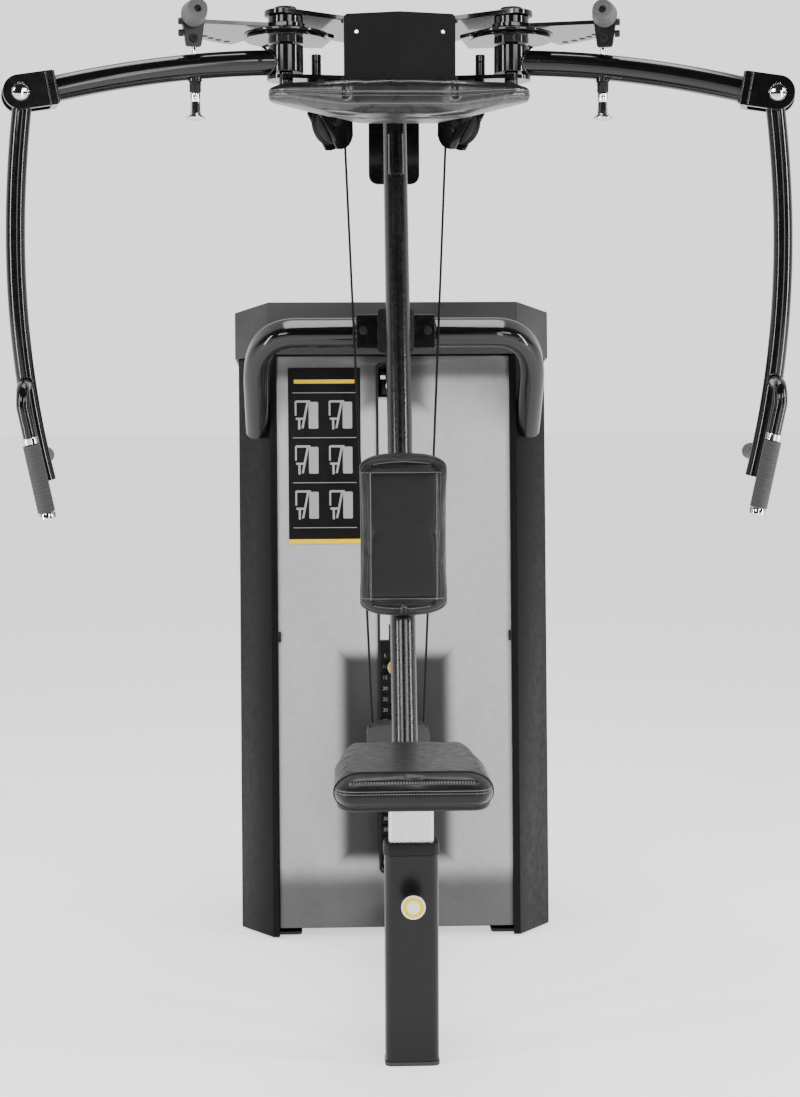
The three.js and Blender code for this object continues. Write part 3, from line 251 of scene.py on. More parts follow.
def frosted_panel_painted_shade():
    """Frosted sheet, with painted shade: the shade of the dark pieces close behind it painted on as soft
    shapes.
    """
    made = surface(
        "frosted_sheet_painted_shade", (0.40, 0.40, 0.402), 0.42, rough_change=0.03, grain=[("noise", 900, 0.02)]
    )
    nodes, links = made.node_tree.nodes, made.node_tree.links
    shader = nodes["Principled BSDF"]
    tint = shader.inputs["Base Color"].links[0].from_socket
    place = nodes.new("ShaderNodeTexCoord")
    axes = nodes.new("ShaderNodeSeparateXYZ")
    links.new(place.outputs["Object"], axes.inputs["Vector"])
    aside = nodes.new("ShaderNodeMath")
    aside.operation = "ABSOLUTE"
    links.new(axes.outputs["X"], aside.inputs[0])
    stack_low, stack_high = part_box("resting_plates")
    stack_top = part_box("lifted_plates")[1].z - 0.055
    bar_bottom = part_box("upper_crossbar")[0].z
    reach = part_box("front_panel")[1]
    # half width, bottom, top, softness and darkness of each painted shadow behind the sheet, in metres
    shapes = (
        (stack_high.x - 0.002, stack_low.z + 0.045, stack_top, 0.024, 0.985),
        (0.075, bar_bottom - 0.02, reach.z + 0.2, 0.03, 0.85),
        (reach.x + 0.2, bar_bottom + 0.05, reach.z + 0.2, 0.018, 0.72),
        (reach.x + 0.2, -0.2, 0.145, 0.04, 0.82),
    )
    clear = 1.0
    for half, low, high, blur, dark in shapes:
        outside = soft_step(nodes, links, aside.outputs[0], half - blur, half + blur)
        above = soft_step(nodes, links, axes.outputs["Z"], high - blur, high + blur)
        below = soft_step(nodes, links, axes.outputs["Z"], low - blur, low + blur)
        lit = combine(nodes, links, "SUBTRACT", 1.0, below)
        lit = combine(nodes, links, "MAXIMUM", lit, above)
        lit = combine(nodes, links, "MAXIMUM", lit, outside)
        shade = combine(nodes, links, "SUBTRACT", 1.0, lit)
        shade = combine(nodes, links, "MULTIPLY", shade, dark)
        shade = combine(nodes, links, "SUBTRACT", 1.0, shade)
        clear = combine(nodes, links, "MULTIPLY", clear, shade)
    blend = nodes.new("ShaderNodeMix")
    blend.data_type = "RGBA"
    # the colour of the painted shade
    blend.inputs[6].default_value = (0.012, 0.012, 0.0125, 1)
    links.new(clear, blend.inputs[0])
    links.new(tint, blend.inputs[7])
    links.new(blend.outputs[2], shader.inputs["Base Color"])
    return made


def clear_frost_finish():
    """Frosted sheet that lets light through."""
    made = surface("clear_frost", (0.86, 0.86, 0.865), 0.5, rough_change=0.04, color_change=0.02)
    made.node_tree.nodes["Principled BSDF"].inputs["Transmission Weight"].default_value = 0.85
    return made


def make_finishes():
    peel = [("noise", 240, 0.02), ("noise", 1100, 0.006)]
    fine = [("noise", 900, 0.02)]
    made = {
        "black_paint": surface(
            "gloss_black", (0.004, 0.004, 0.0043), 0.16, coat=0.55, coat_roughness=0.06, specular=0.2,
            grain=peel,
        ),
        "post_black": surface(
            "satin_black", (0.005, 0.005, 0.0053), 0.32, coat=0.15, coat_roughness=0.14, specular=0.2,
            grain=peel,
        ),
        "mast_black": surface(
            "mast_black", (0.004, 0.004, 0.0043), 0.26, coat=0.4, coat_roughness=0.16, specular=0.4,
            grain=peel,
        ),
        "wrinkle_black": surface(
            "wrinkle_black", (0.0035, 0.0035, 0.0037), 0.5, specular=0.14,
            grain=[("cells", 620, 0.22), ("noise", 1500, 0.05)],
        ),
        "wrinkle_grey": surface(
            "wrinkle_grey", (0.03, 0.03, 0.031), 0.5, specular=0.4,
            grain=[("cells", 520, 0.35), ("noise", 1500, 0.05)],
        ),
        "charcoal_paint": surface(
            "satin_charcoal", (0.0045, 0.0046, 0.0049), 0.42, specular=0.1, rough_change=0.06,
            grain=[("noise", 700, 0.03)],
        ),
        "cap_grey": surface(
            "satin_cap", (0.031, 0.0315, 0.033), 0.46, specular=0.35, grain=[("noise", 800, 0.04)]
        ),
        "vinyl": surface(
            "black_vinyl", (0.0055, 0.0055, 0.0058), 0.34, coat=0.1, coat_roughness=0.2, sheen=0.04,
            specular=0.22, rough_change=0.07, grain=[("cells", 1150, 0.07), ("noise", 160, 0.12)],
        ),
        "header_vinyl": surface(
            "header_vinyl", (0.0055, 0.0055, 0.0058), 0.3, coat=0.35, coat_roughness=0.22, sheen=0.04,
            specular=0.6, rough_change=0.04, grain=[("cells", 1150, 0.05), ("noise", 160, 0.03)],
        ),
        "rubber": surface("dark_rubber", (0.035, 0.035, 0.037), 0.78, grain=[("noise", 1200, 0.08)]),
        "grip_rubber": surface(
            "grip_rubber", (0.03, 0.03, 0.032), 0.68, sheen=0.1,
            grain=[("cells", 900, 0.15), ("noise", 300, 0.05)],
        ),
        "grey_rubber": surface(
            "grey_rubber", (0.06, 0.06, 0.062), 0.6, sheen=0.1,
            grain=[("noise", 900, 0.1), ("cells", 300, 0.03)],
        ),
        "chrome": surface(
            "polished_chrome", (0.78, 0.785, 0.8), 0.08, metallic=1, rough_change=0.03, color_change=0.02
        ),
        "stainless": surface(
            "brushed_stainless", (0.56, 0.565, 0.575), 0.27, metallic=1, rough_change=0.08, rough_scale=30,
            color_change=0.06, grain=[("noise", 60, 0.03)], stretch=(14, 14, 0.5),
        ),
        "iron": surface("black_iron", (0.02, 0.02, 0.021), 0.5, metallic=0.3, grain=[("noise", 420, 0.08)]),
        "black_plastic": surface(
            "moulded_black", (0.007, 0.007, 0.0075), 0.5, specular=0.25, grain=[("noise", 900, 0.06)]
        ),
        "cable": surface("coated_cable", (0.004, 0.004, 0.004), 0.5, specular=0.15, grain=fine),
        "thread": surface("thread", (0.2, 0.2, 0.205), 0.6, sheen=0.3, grain=[("noise", 2600, 0.1)]),
        "yellow": surface(
            "yellow_plastic", (0.86, 0.56, 0.0), 0.5, specular=0.1, color_change=0.05, grain=fine
        ),
        "placard_black": surface(
            "placard_black", (0.004, 0.004, 0.0045), 0.36, specular=0.2, grain=[("noise", 700, 0.01)]
        ),
        # the frosted panel's finish carries painted shade of the pieces behind it
        "frosted_panel": frosted_panel_painted_shade(),
        "clear_frost": clear_frost_finish(),
    }
    # the white print also serves as the painted reflection on the knob faces; the plate numbers are real
    # print
    prints = (("white_print_and_painted_reflection", (0.75, 0.75, 0.75), 0.04), ("grey_print", (0.3, 0.302, 0.306), 0.08))
    for name, tint, change in prints:
        made[name] = surface(name, tint, 0.5, color_change=change, grain=[("noise", 900, 0.01)])
    return made


# ---------------------------------------------------------------- shapes
def full_turn(count):
    return [2 * math.pi * i / count for i in range(count)]


def circle(centre, side, third, radius, count):
    return [centre + (side * math.cos(t) + third * math.sin(t)) * radius for t in full_turn(count)]


def round_edges(obj, width_mm, angle):
    edges = obj.modifiers.new("edges", "BEVEL")
    edges.width, edges.segments = width_mm * MM, 3
    edges.limit_method, edges.angle_limit = "ANGLE", math.radians(angle)
    edges.harden_normals = True
    return edges


class Shape:
    """Collects closed shells, in millimetres, and makes one object of them."""

    def __init__(self, place=None):
        self.place = place or Matrix.Identity(4)
        self.vertices = []
        self.faces = []

    def loft(self, rings, closed=False):
        base, count = len(self.vertices), len(rings[0])
        for ring in rings:
            self.vertices += [self.place @ Vector(point) for point in ring]
        spans = len(rings) if closed else len(rings) - 1
        for i in range(spans):
            a, b = base + i * count, base + ((i + 1) % len(rings)) * count
            for j in range(count):
                k = (j + 1) % count
                self.faces.append((a + j, a + k, b + k, b + j))
        if not closed:
            self.faces.append(tuple(base + j for j in reversed(range(count))))
            last = base + (len(rings) - 1) * count
            self.faces.append(tuple(last + j for j in range(count)))
        return self

    def tube(self, points, radius, sides=32, hint=(0, 1, 0), section=None):
        """A bar along points; section, if given, lists (along hint, across it) in place of a circle."""
        points = [Vector(p) for p in points]
        section = section or [(radius * math.cos(t), radius * math.sin(t)) for t in full_turn(sides)]
        across = Vector(hint).normalized()
        rings = []
        for i, point in enumerate(points):
            along = (points[min(i + 1, len(points) - 1)] - points[max(i - 1, 0)]).normalized()
            across = (across - along * across.dot(along)).normalized()
            third = along.cross(across)
            rings.append([point + across * a + third * b for a, b in section])
        return self.loft(rings)

    def lathe(self, origin, axis, profile, sides=48, closed=False):
        """A turned piece: profile lists (distance along axis, radius)."""
        axis = Vector(axis).normalized()
        side = axis.orthogonal().normalized()
        third = axis.cross(side)
        rings = []
        for distance, radius in profile:
            centre = Vector(origin) + axis * distance
            rings.append(circle(centre, side, third, max(radius, 0.01), sides))
        return self.loft(rings, closed)

    def prism(self, outline, low, high, basis=None):
        """An outline in a plane, given thickness; basis places that plane."""
        basis = basis or Matrix.Identity(4)
        return self.loft([[basis @ Vector((x, y, level)) for x, y in outline] for level in (low, high)])

    def block(self, low, high):
        (x0, y0, z0), (x1, y1, z1) = low, high
        return self.prism([(x0, y0), (x1, y0), (x1, y1), (x0, y1)], z0, z1)

    def bead(self, points, size, seed=1, closed=True, hint=(0, 0, 1)):
        """A weld bead along points: a thin bar whose thickness ripples."""
        draw = random.Random(seed)
        rings = []
        across = Vector(hint).normalized()
        for i, point in enumerate(points):
            after = (i + 1) % len(points) if closed else min(i + 1, len(points) - 1)
            ahead, behind = Vector(points[after]), Vector(points[i - 1 if closed or i else 0])
            along = (ahead - behind).normalized()
            across = (across - along * across.dot(along)).normalized()
            ripple = 0.8 + 0.35 * abs(math.sin(i * 1.1)) + draw.uniform(-0.08, 0.08)
            rings.append(circle(Vector(point), across, along.cross(across), size * ripple, 10))
        return self.loft(rings, closed)

    def object(self, name):
        """An object of the shells, in metres, with their faces pointing out."""
        mesh = bpy.data.meshes.new(name)
        mesh.from_pydata([v * MM for v in self.vertices], [], self.faces)
        work = bmesh.new()
        work.from_mesh(mesh)
        bmesh.ops.recalc_face_normals(work, faces=work.faces)
        work.to_mesh(mesh)
        work.free()
        made = bpy.data.objects.new(name, mesh)
        bpy.context.scene.collection.objects.link(made)
        return made

    def make(self, name, body, slot, finish, bevel=0.0, smooth=38):
        """A finished piece that rides on a body, with its edges rounded by bevel."""
        made = self.object(name)
        made.data.materials.append(finishes[finish])
        made.data.shade_smooth()
        made.data.set_sharp_from_angle(angle=math.radians(smooth))
        if bevel:
            round_edges(made, bevel, 35)
        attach(made, body)
        return made

    def stand_for(self, node, name, body, finish, bevel=0.0, smooth=38):
        """A finished piece in place of a CAD node."""
        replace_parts(self.make(name, body, slots[node], finish, bevel, smooth), node)


def arc(cx, cy, radius, start, end, steps=10):
    """Points of an arc, from start to end in degrees."""
    angles = [math.radians(start + (end - start) * i / steps) for i in range(steps + 1)]
    return [(cx + radius * math.cos(t), cy + radius * math.sin(t)) for t in angles]


def rounded(width, depth, radius, cx=0, cy=0, steps=6):
    w, d = width / 2 - radius, depth / 2 - radius
    return (
        arc(cx + w, cy + d, radius, 0, 90, steps)
        + arc(cx - w, cy + d, radius, 90, 180, steps)
        + arc(cx - w, cy - d, radius, 180, 270, steps)
        + arc(cx + w, cy - d, radius, 270, 360, steps)
    )


def bezier(controls, steps):
    """Points along a Bezier curve of any degree."""
    found = []
    for i in range(steps + 1):
        row, t = [Vector(c) for c in controls], i / steps
        while len(row) > 1:
            row = [a.lerp(b, t) for a, b in zip(row, row[1:])]
        found.append(row[0])
    return found


def circle_points(centre, axis, radius, count=60):
    axis = Vector(axis).normalized()
    side = axis.orthogonal().normalized()
    return circle(Vector(centre), side, axis.cross(side), radius, count)


def front_view(y=0):
    """A basis whose outline lies in the (X, Z) plane, thickness along -Y."""
    return Matrix(((1, 0, 0, 0), (0, 0, -1, y), (0, 1, 0, 0), (0, 0, 0, 1)))


def hex_bolt(shape, origin, axis, across=10, height=6, washer=8):
    shape.lathe(origin, axis, [(0, washer), (1.4, washer), (1.8, washer - 0.6)], 32)
    shape.lathe(
        origin, axis, [(1, across / 1.732), (height, across / 1.732), (height + 0.8, across / 1.732 - 1)], 6
    )


# ---------------------------------------------------------------- CAD nodes that stay, with a better surface
KEPT_BEVEL_MM = 1.2
BEVEL_MM = {"tower_cap": 2.0, "left_tower_shell": 1.6, "right_tower_shell": 1.6}
OTHER_FINISH = {"rear_panel": "clear_frost", "lower_pulley_housing": "wrinkle_grey"}


def dress_cad(slots, replaced):
    for name, node in frame["nodes"].items():
        node.data.materials.clear()
        node.data.materials.append(finishes[OTHER_FINISH.get(name, slots[name])])
        if name in replaced:
            continue
        node.data.shade_smooth()
        node.data.set_sharp_from_angle(angle=math.radians(32))
        weld = node.modifiers.new("merge", "WELD")
        weld.merge_threshold = 0.00001
        round_edges(node, BEVEL_MM.get(name, KEPT_BEVEL_MM), 40).use_clamp_overlap = True


make_camera()
finishes = make_finishes()
make_studio()

slots = {part["node"]: part["material_slot"] for part in frame["record"]["subparts"]}


def knob_face_with_painted_reflection(name, body, place, centre, radius):
    """A pull knob's face towards -Y: a white disc, a painted reflection standing in for the knob's chrome
    face, with a yellow ring let into it.
    """
    painted_reflection_disc = [(0.5, radius), (-0.4, radius), (-0.9, radius - 1), (-0.9, 0)]
    Shape(place).lathe(centre, (0, 1, 0), painted_reflection_disc, 56).make(name + "_face_painted_reflection", body, "black_plastic", "white_print_and_painted_reflection")
    inner, outer = radius * 0.56, radius * 0.87
    band = [(-0.8, inner), (-1.2, inner + 0.3), (-1.2, outer - 0.3), (-0.8, outer)]
    yellow = Shape(place).lathe(centre, (0, 1, 0), band, 56, closed=True)
    yellow.make(name + "_yellow_ring", body, "black_plastic", "yellow")


# ---------------------------------------------------------------- seat post, collar, seat tube and seat pin
POST_CORNER, COLLAR_LIP = 17, 8


def make_seat_column():
    low, high = box_mm("seat_post")
    width, depth = high.x - low.x, high.y - low.y
    mid_y = (low.y + high.y) / 2
    outer = rounded(width, depth, POST_CORNER, 0, mid_y, 10)
    inner = rounded(width - 8, depth - 8, POST_CORNER - 4, 0, mid_y, 10)
    levels = [(outer, low.z), (outer, high.z), (inner, high.z), (inner, low.z)]
    post = Shape().loft([[(x, y, z) for x, y in outline] for outline, z in levels], closed=True)
    post.stand_for("seat_post", "seat_post_tube", "frame", "post_black", bevel=1.0)

    low, high = box_mm("seat_collar")
    tube_low, tube_high = box_mm("seat_tube")
    rim = rounded(high.x - low.x, high.y - low.y, 14, 0, mid_y, 10)
    shrunk = rounded(high.x - low.x - 5, high.y - low.y - 5, 12, 0, mid_y, 10)
    hole = rounded(84.4, 41.4, 9.6, 0, mid_y, 10)
    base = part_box("seat_post")[1].z / MM + 0.4
    rings = [(rim, base), (rim, high.z - COLLAR_LIP), (shrunk, high.z), (hole, high.z), (hole, base)]
    collar = Shape().loft([[(x, y, z) for x, y in outline] for outline, z in rings], closed=True)
    collar.stand_for("seat_collar", "seat_collar_moulding", "frame", "black_plastic", bevel=1.2)

    outline = rounded(83, 40, 9, 0, mid_y, 12)
    tube = Shape().loft([[(x, y, z) for x, y in outline] for z in (tube_low.z, tube_high.z - 1)])
    tube.stand_for("seat_tube", "seat_slide_tube", "seat", "stainless", bevel=0.8)

    knob_low, knob_high = box_mm("seat_pin_knob")
    z = (knob_low.z + knob_high.z) / 2
    back = knob_low.y
    profile = [(0.6, 17), (0, 19), (0.8, 21), (4, 22.5), (10, 22.3), (13, 20), (15, 13)]
    profile += [(32, 10.5), (33, 5), (64, 5)]
    knob = Shape().lathe((0, back, z), (0, 1, 0), profile)
    knob.stand_for("seat_pin_knob", "seat_pin_turned_knob", "seat_pin", "black_plastic")
    knob_face_with_painted_reflection("seat_pin", "seat_pin", None, (0, back, z), 22)
    seat = (0, box_mm("seat_pin_housing")[1].y - 3, z)
    nut = Shape().lathe(seat, (0, -1, 0), [(0, 14), (13, 14), (14, 12.5)], 6)
    nut.lathe(seat, (0, -1, 0), [(12, 11), (32, 11), (34, 10)], 40)
    nut.stand_for("seat_pin_housing", "seat_pin_barrel", "frame", "black_plastic", bevel=0.6)


# ---------------------------------------------------------------- mast, gusset and cross tube
MAST = {"width": 51, "depth": 76, "foot_y": -475, "foot_z": 50, "slope": 0.342}
MAST_GUSSET = {"low": 1716, "proud": 10, "width": 33}


def mast_y(z):
    return MAST["foot_y"] + MAST["slope"] * (z - MAST["foot_z"])


def obround(width, depth, steps=16):
    return rounded(width, depth, width / 2 - 0.01, 0, 0, steps)


def level_cut(outline, z, shift=0.0):
    """The mast's section where it meets a level plane, so it is stretched along Y by its lean."""
    stretch = math.sqrt(1 + MAST["slope"] ** 2)
    return [(x, mast_y(z) + shift + y * stretch, z) for x, y in outline]


def make_mast():
    low, high = box_mm("mast")
    outline = obround(MAST["width"], MAST["depth"])
    foot, top = low.z, high.z
    mast = Shape().loft([level_cut(outline, z) for z in (foot, top)])
    mast.prism(rounded(90, 130, 8, 0, mast_y(foot) - 5), foot, foot + 10)
    pad_low, pad_high = box_mm("back_pad")
    mid = (pad_low.z + pad_high.z) / 2
    board_y = pad_high.y + 0.4
    mast.prism(rounded(120, 240, 16, 0, mid), -8, 0, front_view(board_y))
    for offset in (-90, 90):
        z = mid + offset
        mast.block((-18, board_y + 4, z - 22), (18, mast_y(z) - 30, z + 22))
    cross_low, cross_high = box_mm("cross_tube")
    z = cross_high.z - 38
    mast.block((-20, mast_y(z) + 20, z - 34), (20, cross_low.y - 2, z + 34))
    mast.prism(rounded(80, 96, 8, 0, z), -8, 0, front_view(cross_low.y - 8))
    mast.stand_for("mast", "mast_tube", "frame", "mast_black", bevel=1.0)

    rib = [(x, y - 26) for x, y in obround(MAST_GUSSET["width"], 60)]
    header_low = box_mm("header_pad")[0].z
    heights = (MAST_GUSSET["low"], header_low - 0.6)
    gusset = Shape().loft([level_cut(rib, z, -MAST_GUSSET["proud"]) for z in heights])
    gusset.make("mast_top_rib", "frame", slots["mast"], "mast_black", bevel=1.5)
    beads = Shape()
    half = MAST_GUSSET["width"] / 2
    for side in (-1, 1):
        run = []
        for i in range(46):
            z = MAST_GUSSET["low"] + (header_low - 6 - MAST_GUSSET["low"]) * i / 45
            run.append((side * (half + 0.6), mast_y(z) - 37, z))
        beads.bead(run, 2.0, seed=11 + side, closed=False, hint=(1, 0, 0))
    base = level_cut(obround(MAST["width"] + 1, MAST["depth"] + 1, 30), foot + 10.5)
    beads.bead(base, 3.0, seed=5)
    beads.make("mast_welds", "frame", slots["mast"], "black_paint")


# The tube's level middle, its two bends and its ends; bend is the length along X that each bend takes.
CROSS = {"y": 167, "z": 1384, "half": 314, "bend": 94, "drop_y": 392, "drop_z": 1130}
CROSS_SECTION = rounded(70, 54, 25, steps=10)


def make_cross_tube():
    y, z, half = CROSS["y"], CROSS["z"], CROSS["half"]
    bend_y = y + (CROSS["drop_y"] - y) * 0.42
    bend_z = z - (bend_y - y) * (z - CROSS["drop_z"]) / (CROSS["drop_y"] - y)
    flat = half - CROSS["bend"]
    end_y, end_z = CROSS["drop_y"] - 34, CROSS["drop_z"] + 39
    left = [(-half, end_y, end_z), (-half, bend_y, bend_z)]
    corner = bezier([(-half, bend_y, bend_z), (-half, y, z), (-flat, y, z)], 24)
    mirrored = [(-p[0], p[1], p[2]) for p in reversed(corner)]
    run = bezier(left, 4)[:-1] + corner + bezier([(-flat, y, z), (flat, y, z)], 8)[1:-1] + mirrored
    run += bezier([(half, bend_y, bend_z), (half, end_y, end_z)], 4)[1:]
    tube = Shape().tube(run, 0, hint=(0, -0.4, 1), section=CROSS_SECTION)
    tube.block((-87, y - 34, z - 36), (87, y + 34, z + 38))
    tube.stand_for("cross_tube", "cross_tube_bent", "frame", "black_paint", bevel=2.0)
    bolts = Shape()
    for x in (-70, 70):
        hex_bolt(bolts, (x, y - 34, z + 4), (0, -1, 0), 15, 8, 10.5)
    bolts.make("cross_tube_bolts", "frame", slots["cross_tube"], "black_plastic", bevel=0.4)
    beads = Shape()
    for x in (-87.5, 87.5):
        ring = [(x, a + y, b + z) for a, b in rounded(62, 47, 21, 0, 0, 20)]
        beads.bead(ring, 2.4, seed=int(x) + 100, hint=(1, 0, 0))
    beads.make("cross_tube_welds", "frame", slots["cross_tube"], "black_paint")


# ---------------------------------------------------------------- boom plates and cover screws
PIVOT_X, PIVOT_Y = 229, -155


def boom_outline(radius, front_y, back_y):
    half = [(112, front_y)]
    half += arc(PIVOT_X, PIVOT_Y, radius, -90, 72, 24)
    half += [(PIVOT_X - 34, 40), (110, 120), (70, back_y)]
    return half + [(-x, y) for x, y in reversed(half)]


def make_boom():
    low, high = box_mm("boom_top_plate")
    top = Shape().prism(boom_outline(43, -120, 150), low.z, high.z)
    top.stand_for("boom_top_plate", "boom_top_plate_cut", "frame", "black_paint", bevel=1.2)
    low, high = box_mm("boom_lower_frame")
    floor = 1880
    lower = Shape().prism(boom_outline(39, -175, 170), floor, floor + 8)
    lower.block((-48, -20, floor + 5), (48, 130, high.z))
    for side in (-1, 1):
        stud = [(0, 10), (34, 10), (34.6, 9), (35.4, 9), (36, 10), (49, 10), (50, 9)]
        lower.lathe((side * 168, -122, floor + 8), (0, 0, 1), stud, 40)
    plate = rounded(112, floor + 5 - low.z, 20, 0, (floor + 5 + low.z) / 2)
    lower.prism(plate, -10, 0, front_view(186))
    lower.stand_for("boom_lower_frame", "boom_lower_plate", "frame", "black_paint", bevel=1.2)
    cover_low, cover_high = box_mm("front_cover")
    make_cover(cover_low, cover_high)
    screws = Shape()
    for x in (-86, 86):
        y = cover_low.y + 26 * abs(x) / 112
        lean = Vector((math.copysign(0.226, x), -0.974, 0))
        z = cover_low.z + 100
        head = [(0, 4.4), (1.4, 4.2), (2.0, 3), (2.0, 2.1), (0.8, 2.0), (0.8, 0)]
        screws.lathe((x, y - 0.4, z), lean, head, 32)
    screws.make("cover_screws", "frame", slots["front_cover"], "chrome")
    shafts = Shape()
    for side in (-1, 1):
        cap = [(0, 22), (6.4, 22), (7.6, 20.5), (7.6, 0)]
        shafts.lathe((side * PIVOT_X, PIVOT_Y, 2018.4), (0, 0, 1), cap)
    shafts.make("pivot_caps", "frame", slots["left_pivot_shaft"], "black_plastic")


COVER = {"half": 112, "side_y": -206, "fold_y": -232, "back_y": -184, "sheet": 4}


def make_cover(low, high):
    """The folded sheet in front of the boom, with rounded corners and two short returns."""
    middle_z, tall = (low.z + high.z) / 2, high.z - low.z
    reach = math.hypot(COVER["half"], COVER["side_y"] - COVER["fold_y"])
    outline = rounded(2 * reach, tall, 9, 0, middle_z, 8)
    # The fold needs points of its own along its line.
    across = sorted({x for x, _ in outline} | {0.0})
    top = {x: max(z for u, z in outline if abs(u - x) < 1e-6) for x in across if x}
    bottom = {x: min(z for u, z in outline if abs(u - x) < 1e-6) for x in across if x}
    top[0.0], bottom[0.0] = high.z, low.z
    run = [(x, bottom[x]) for x in across] + [(x, top[x]) for x in reversed(across)]

    def folded(x, z, depth):
        share = abs(x) / reach
        y = COVER["fold_y"] + (COVER["side_y"] - COVER["fold_y"]) * share
        return (COVER["half"] * x / reach, y + depth, z)

    sheet = Shape()
    count = len(run)
    for depth in (0, COVER["sheet"]):
        sheet.vertices += [Vector(folded(x, z, depth)) for x, z in run]
    columns = len(across)
    for side, flip in ((0, False), (count, True)):
        for i in range(columns - 1):
            face = (side + i, side + i + 1, side + count - 2 - i, side + count - 1 - i)
            sheet.faces.append(tuple(reversed(face)) if flip else face)
    for i in range(count):
        k = (i + 1) % count
        sheet.faces.append((i, k, count + k, count + i))
    for side in (-1, 1):
        x = side * (COVER["half"] - 1)
        near, far = sorted((x, x - side * 3))
        sheet.block((near, COVER["side_y"] + 2, low.z + 8), (far, COVER["back_y"], high.z - 8))
    sheet.stand_for("front_cover", "front_cover_sheet", "frame", "wrinkle_black", smooth=20)
    bolts = Shape()
    for side in (-1, 1):
        for z in (low.z + 9, high.z - 11):
            hex_bolt(bolts, (side * 112.5, -192, z), (side, 0, 0), 7, 4, 5)
    bolts.make("cover_side_bolts", "frame", slots["front_cover"], "black_plastic")


# ---------------------------------------------------------------- arms
ARM_SWING = math.radians(13)
HUB_RADIUS, TUBE_RADIUS, FOREARM_RADIUS = 35.5, 25.4, 19
PIN_RADIAL, BUMPER_RADIAL, CLEVIS_RADIAL, CLEVIS_Z = 186, 192, 533, 1834
CLEVIS_TILT = math.radians(10)
EAR_INNER, EAR_OUTER, EAR_WIDTH = 21, 31, 67


def arm_place(side):
    """From an arm's own frame, with the arm along -X, to the row frame."""
    left = Matrix.Translation((-PIVOT_X, PIVOT_Y, 0)) @ Matrix.Rotation(ARM_SWING, 4, "Z")
    return left if side < 0 else Matrix.Scale(-1, 4, (1, 0, 0)) @ left


def make_cam(name, side):
    body = name + "_cam_unit"
    cam = Shape(arm_place(side))
    reach = PIN_RADIAL + 24
    outline = arc(0, 0, 40, -100, 10, 16) + [(118, 76), (118, 190), (44, 196), (20, 60)]
    edge = math.radians(112)
    outline += [(reach * 0.5 * math.cos(edge), reach * 0.5 * math.sin(edge))]
    outline += arc(0, 0, reach, 112, 184.4, 30) + [(-39, -16)]
    cam.prism(outline, 1984, 1992)
    cam.lathe((0, 0, 0), (0, 0, 1), [(1992, HUB_RADIUS), (2006, HUB_RADIUS), (2007.4, HUB_RADIUS - 1.4)])
    cam.lathe((0, 0, 0), (0, 0, 1), [(1970, HUB_RADIUS - 1.5), (1971.5, HUB_RADIUS), (1984, HUB_RADIUS)])
    cam.lathe((0, 0, 0), (0, 0, 1), [(1953, HUB_RADIUS), (1969, HUB_RADIUS), (1970, HUB_RADIUS - 1.5)])
    cam.lathe((0, 0, 0), (0, 0, 1), [(1960, 83), (1961, 84), (1965, 77), (1969, 85), (1973, 85)], 96)
    bracket = arc(11, 1941, 5, -90, 0, 4) + [(24, 1999)] + arc(0, 1999, 24, 0, 180, 24)
    bracket = [(x - BUMPER_RADIAL, z) for x, z in bracket + arc(-11, 1941, 5, 180, 270, 4)]
    holder = Shape(arm_place(side)).prism(bracket, 0, 10, front_view(-18))
    holder.make(name + "_bumper_bracket", body, slots[name + "_cam"], "post_black", bevel=1.0)
    cam.block((-PIN_RADIAL - 14, -20, 1976), (-PIN_RADIAL + 14, -12, 1996))
    slot = slots[name + "_cam"]
    cam.stand_for(name + "_cam", name + "_cam_plates", body, "black_paint", bevel=0.9)
    marks = Shape(arm_place(side))
    bush = [(0, 6.9), (-0.5, 6.6), (-0.5, 5.6), (8.5, 5.6), (8.5, 6.6), (8.2, 6.9)]
    for step in range(9):
        turn = math.radians(180 - 7.5 * step)
        place = (PIN_RADIAL * math.cos(turn), PIN_RADIAL * math.sin(turn), 1983.9)
        marks.lathe(place, (0, 0, 1), bush, 28)
    for offset in (0, 1):
        hex_bolt(marks, (-PIN_RADIAL - 14 + offset * 10, 30 + 40 * offset, 1992), (0, 0, 1), 9, 5, 7)
    for z in (1985, 1962):
        hex_bolt(marks, (-BUMPER_RADIAL - 20, -23, z), (-1, 0, 0), 12, 9, 7)
    socket = [(0, 9), (2, 9), (2, 7.5), (7, 7.5), (7, 4), (3, 4), (3, 0)]
    marks.lathe((-BUMPER_RADIAL, -28, 1952), (0, -1, 0), socket, 32)
    marks.make(name + "_sector_bushes", body, slot, "black_plastic")
    stop = Shape(arm_place(side))
    profile = [(0, 25), (2, 25.3), (8, 24.6), (30, 23), (50, 20.5), (57, 19.2), (59, 17.5), (59.6, 15)]
    profile += [(59.4, 8), (58, 7), (40, 6.6), (40, 0)]
    stop.lathe((-BUMPER_RADIAL, -28.4, 1999), (0, -1, 0), profile, 64)
    stop.stand_for(name + "_bumper", name + "_bumper_cone", body, "grey_rubber")


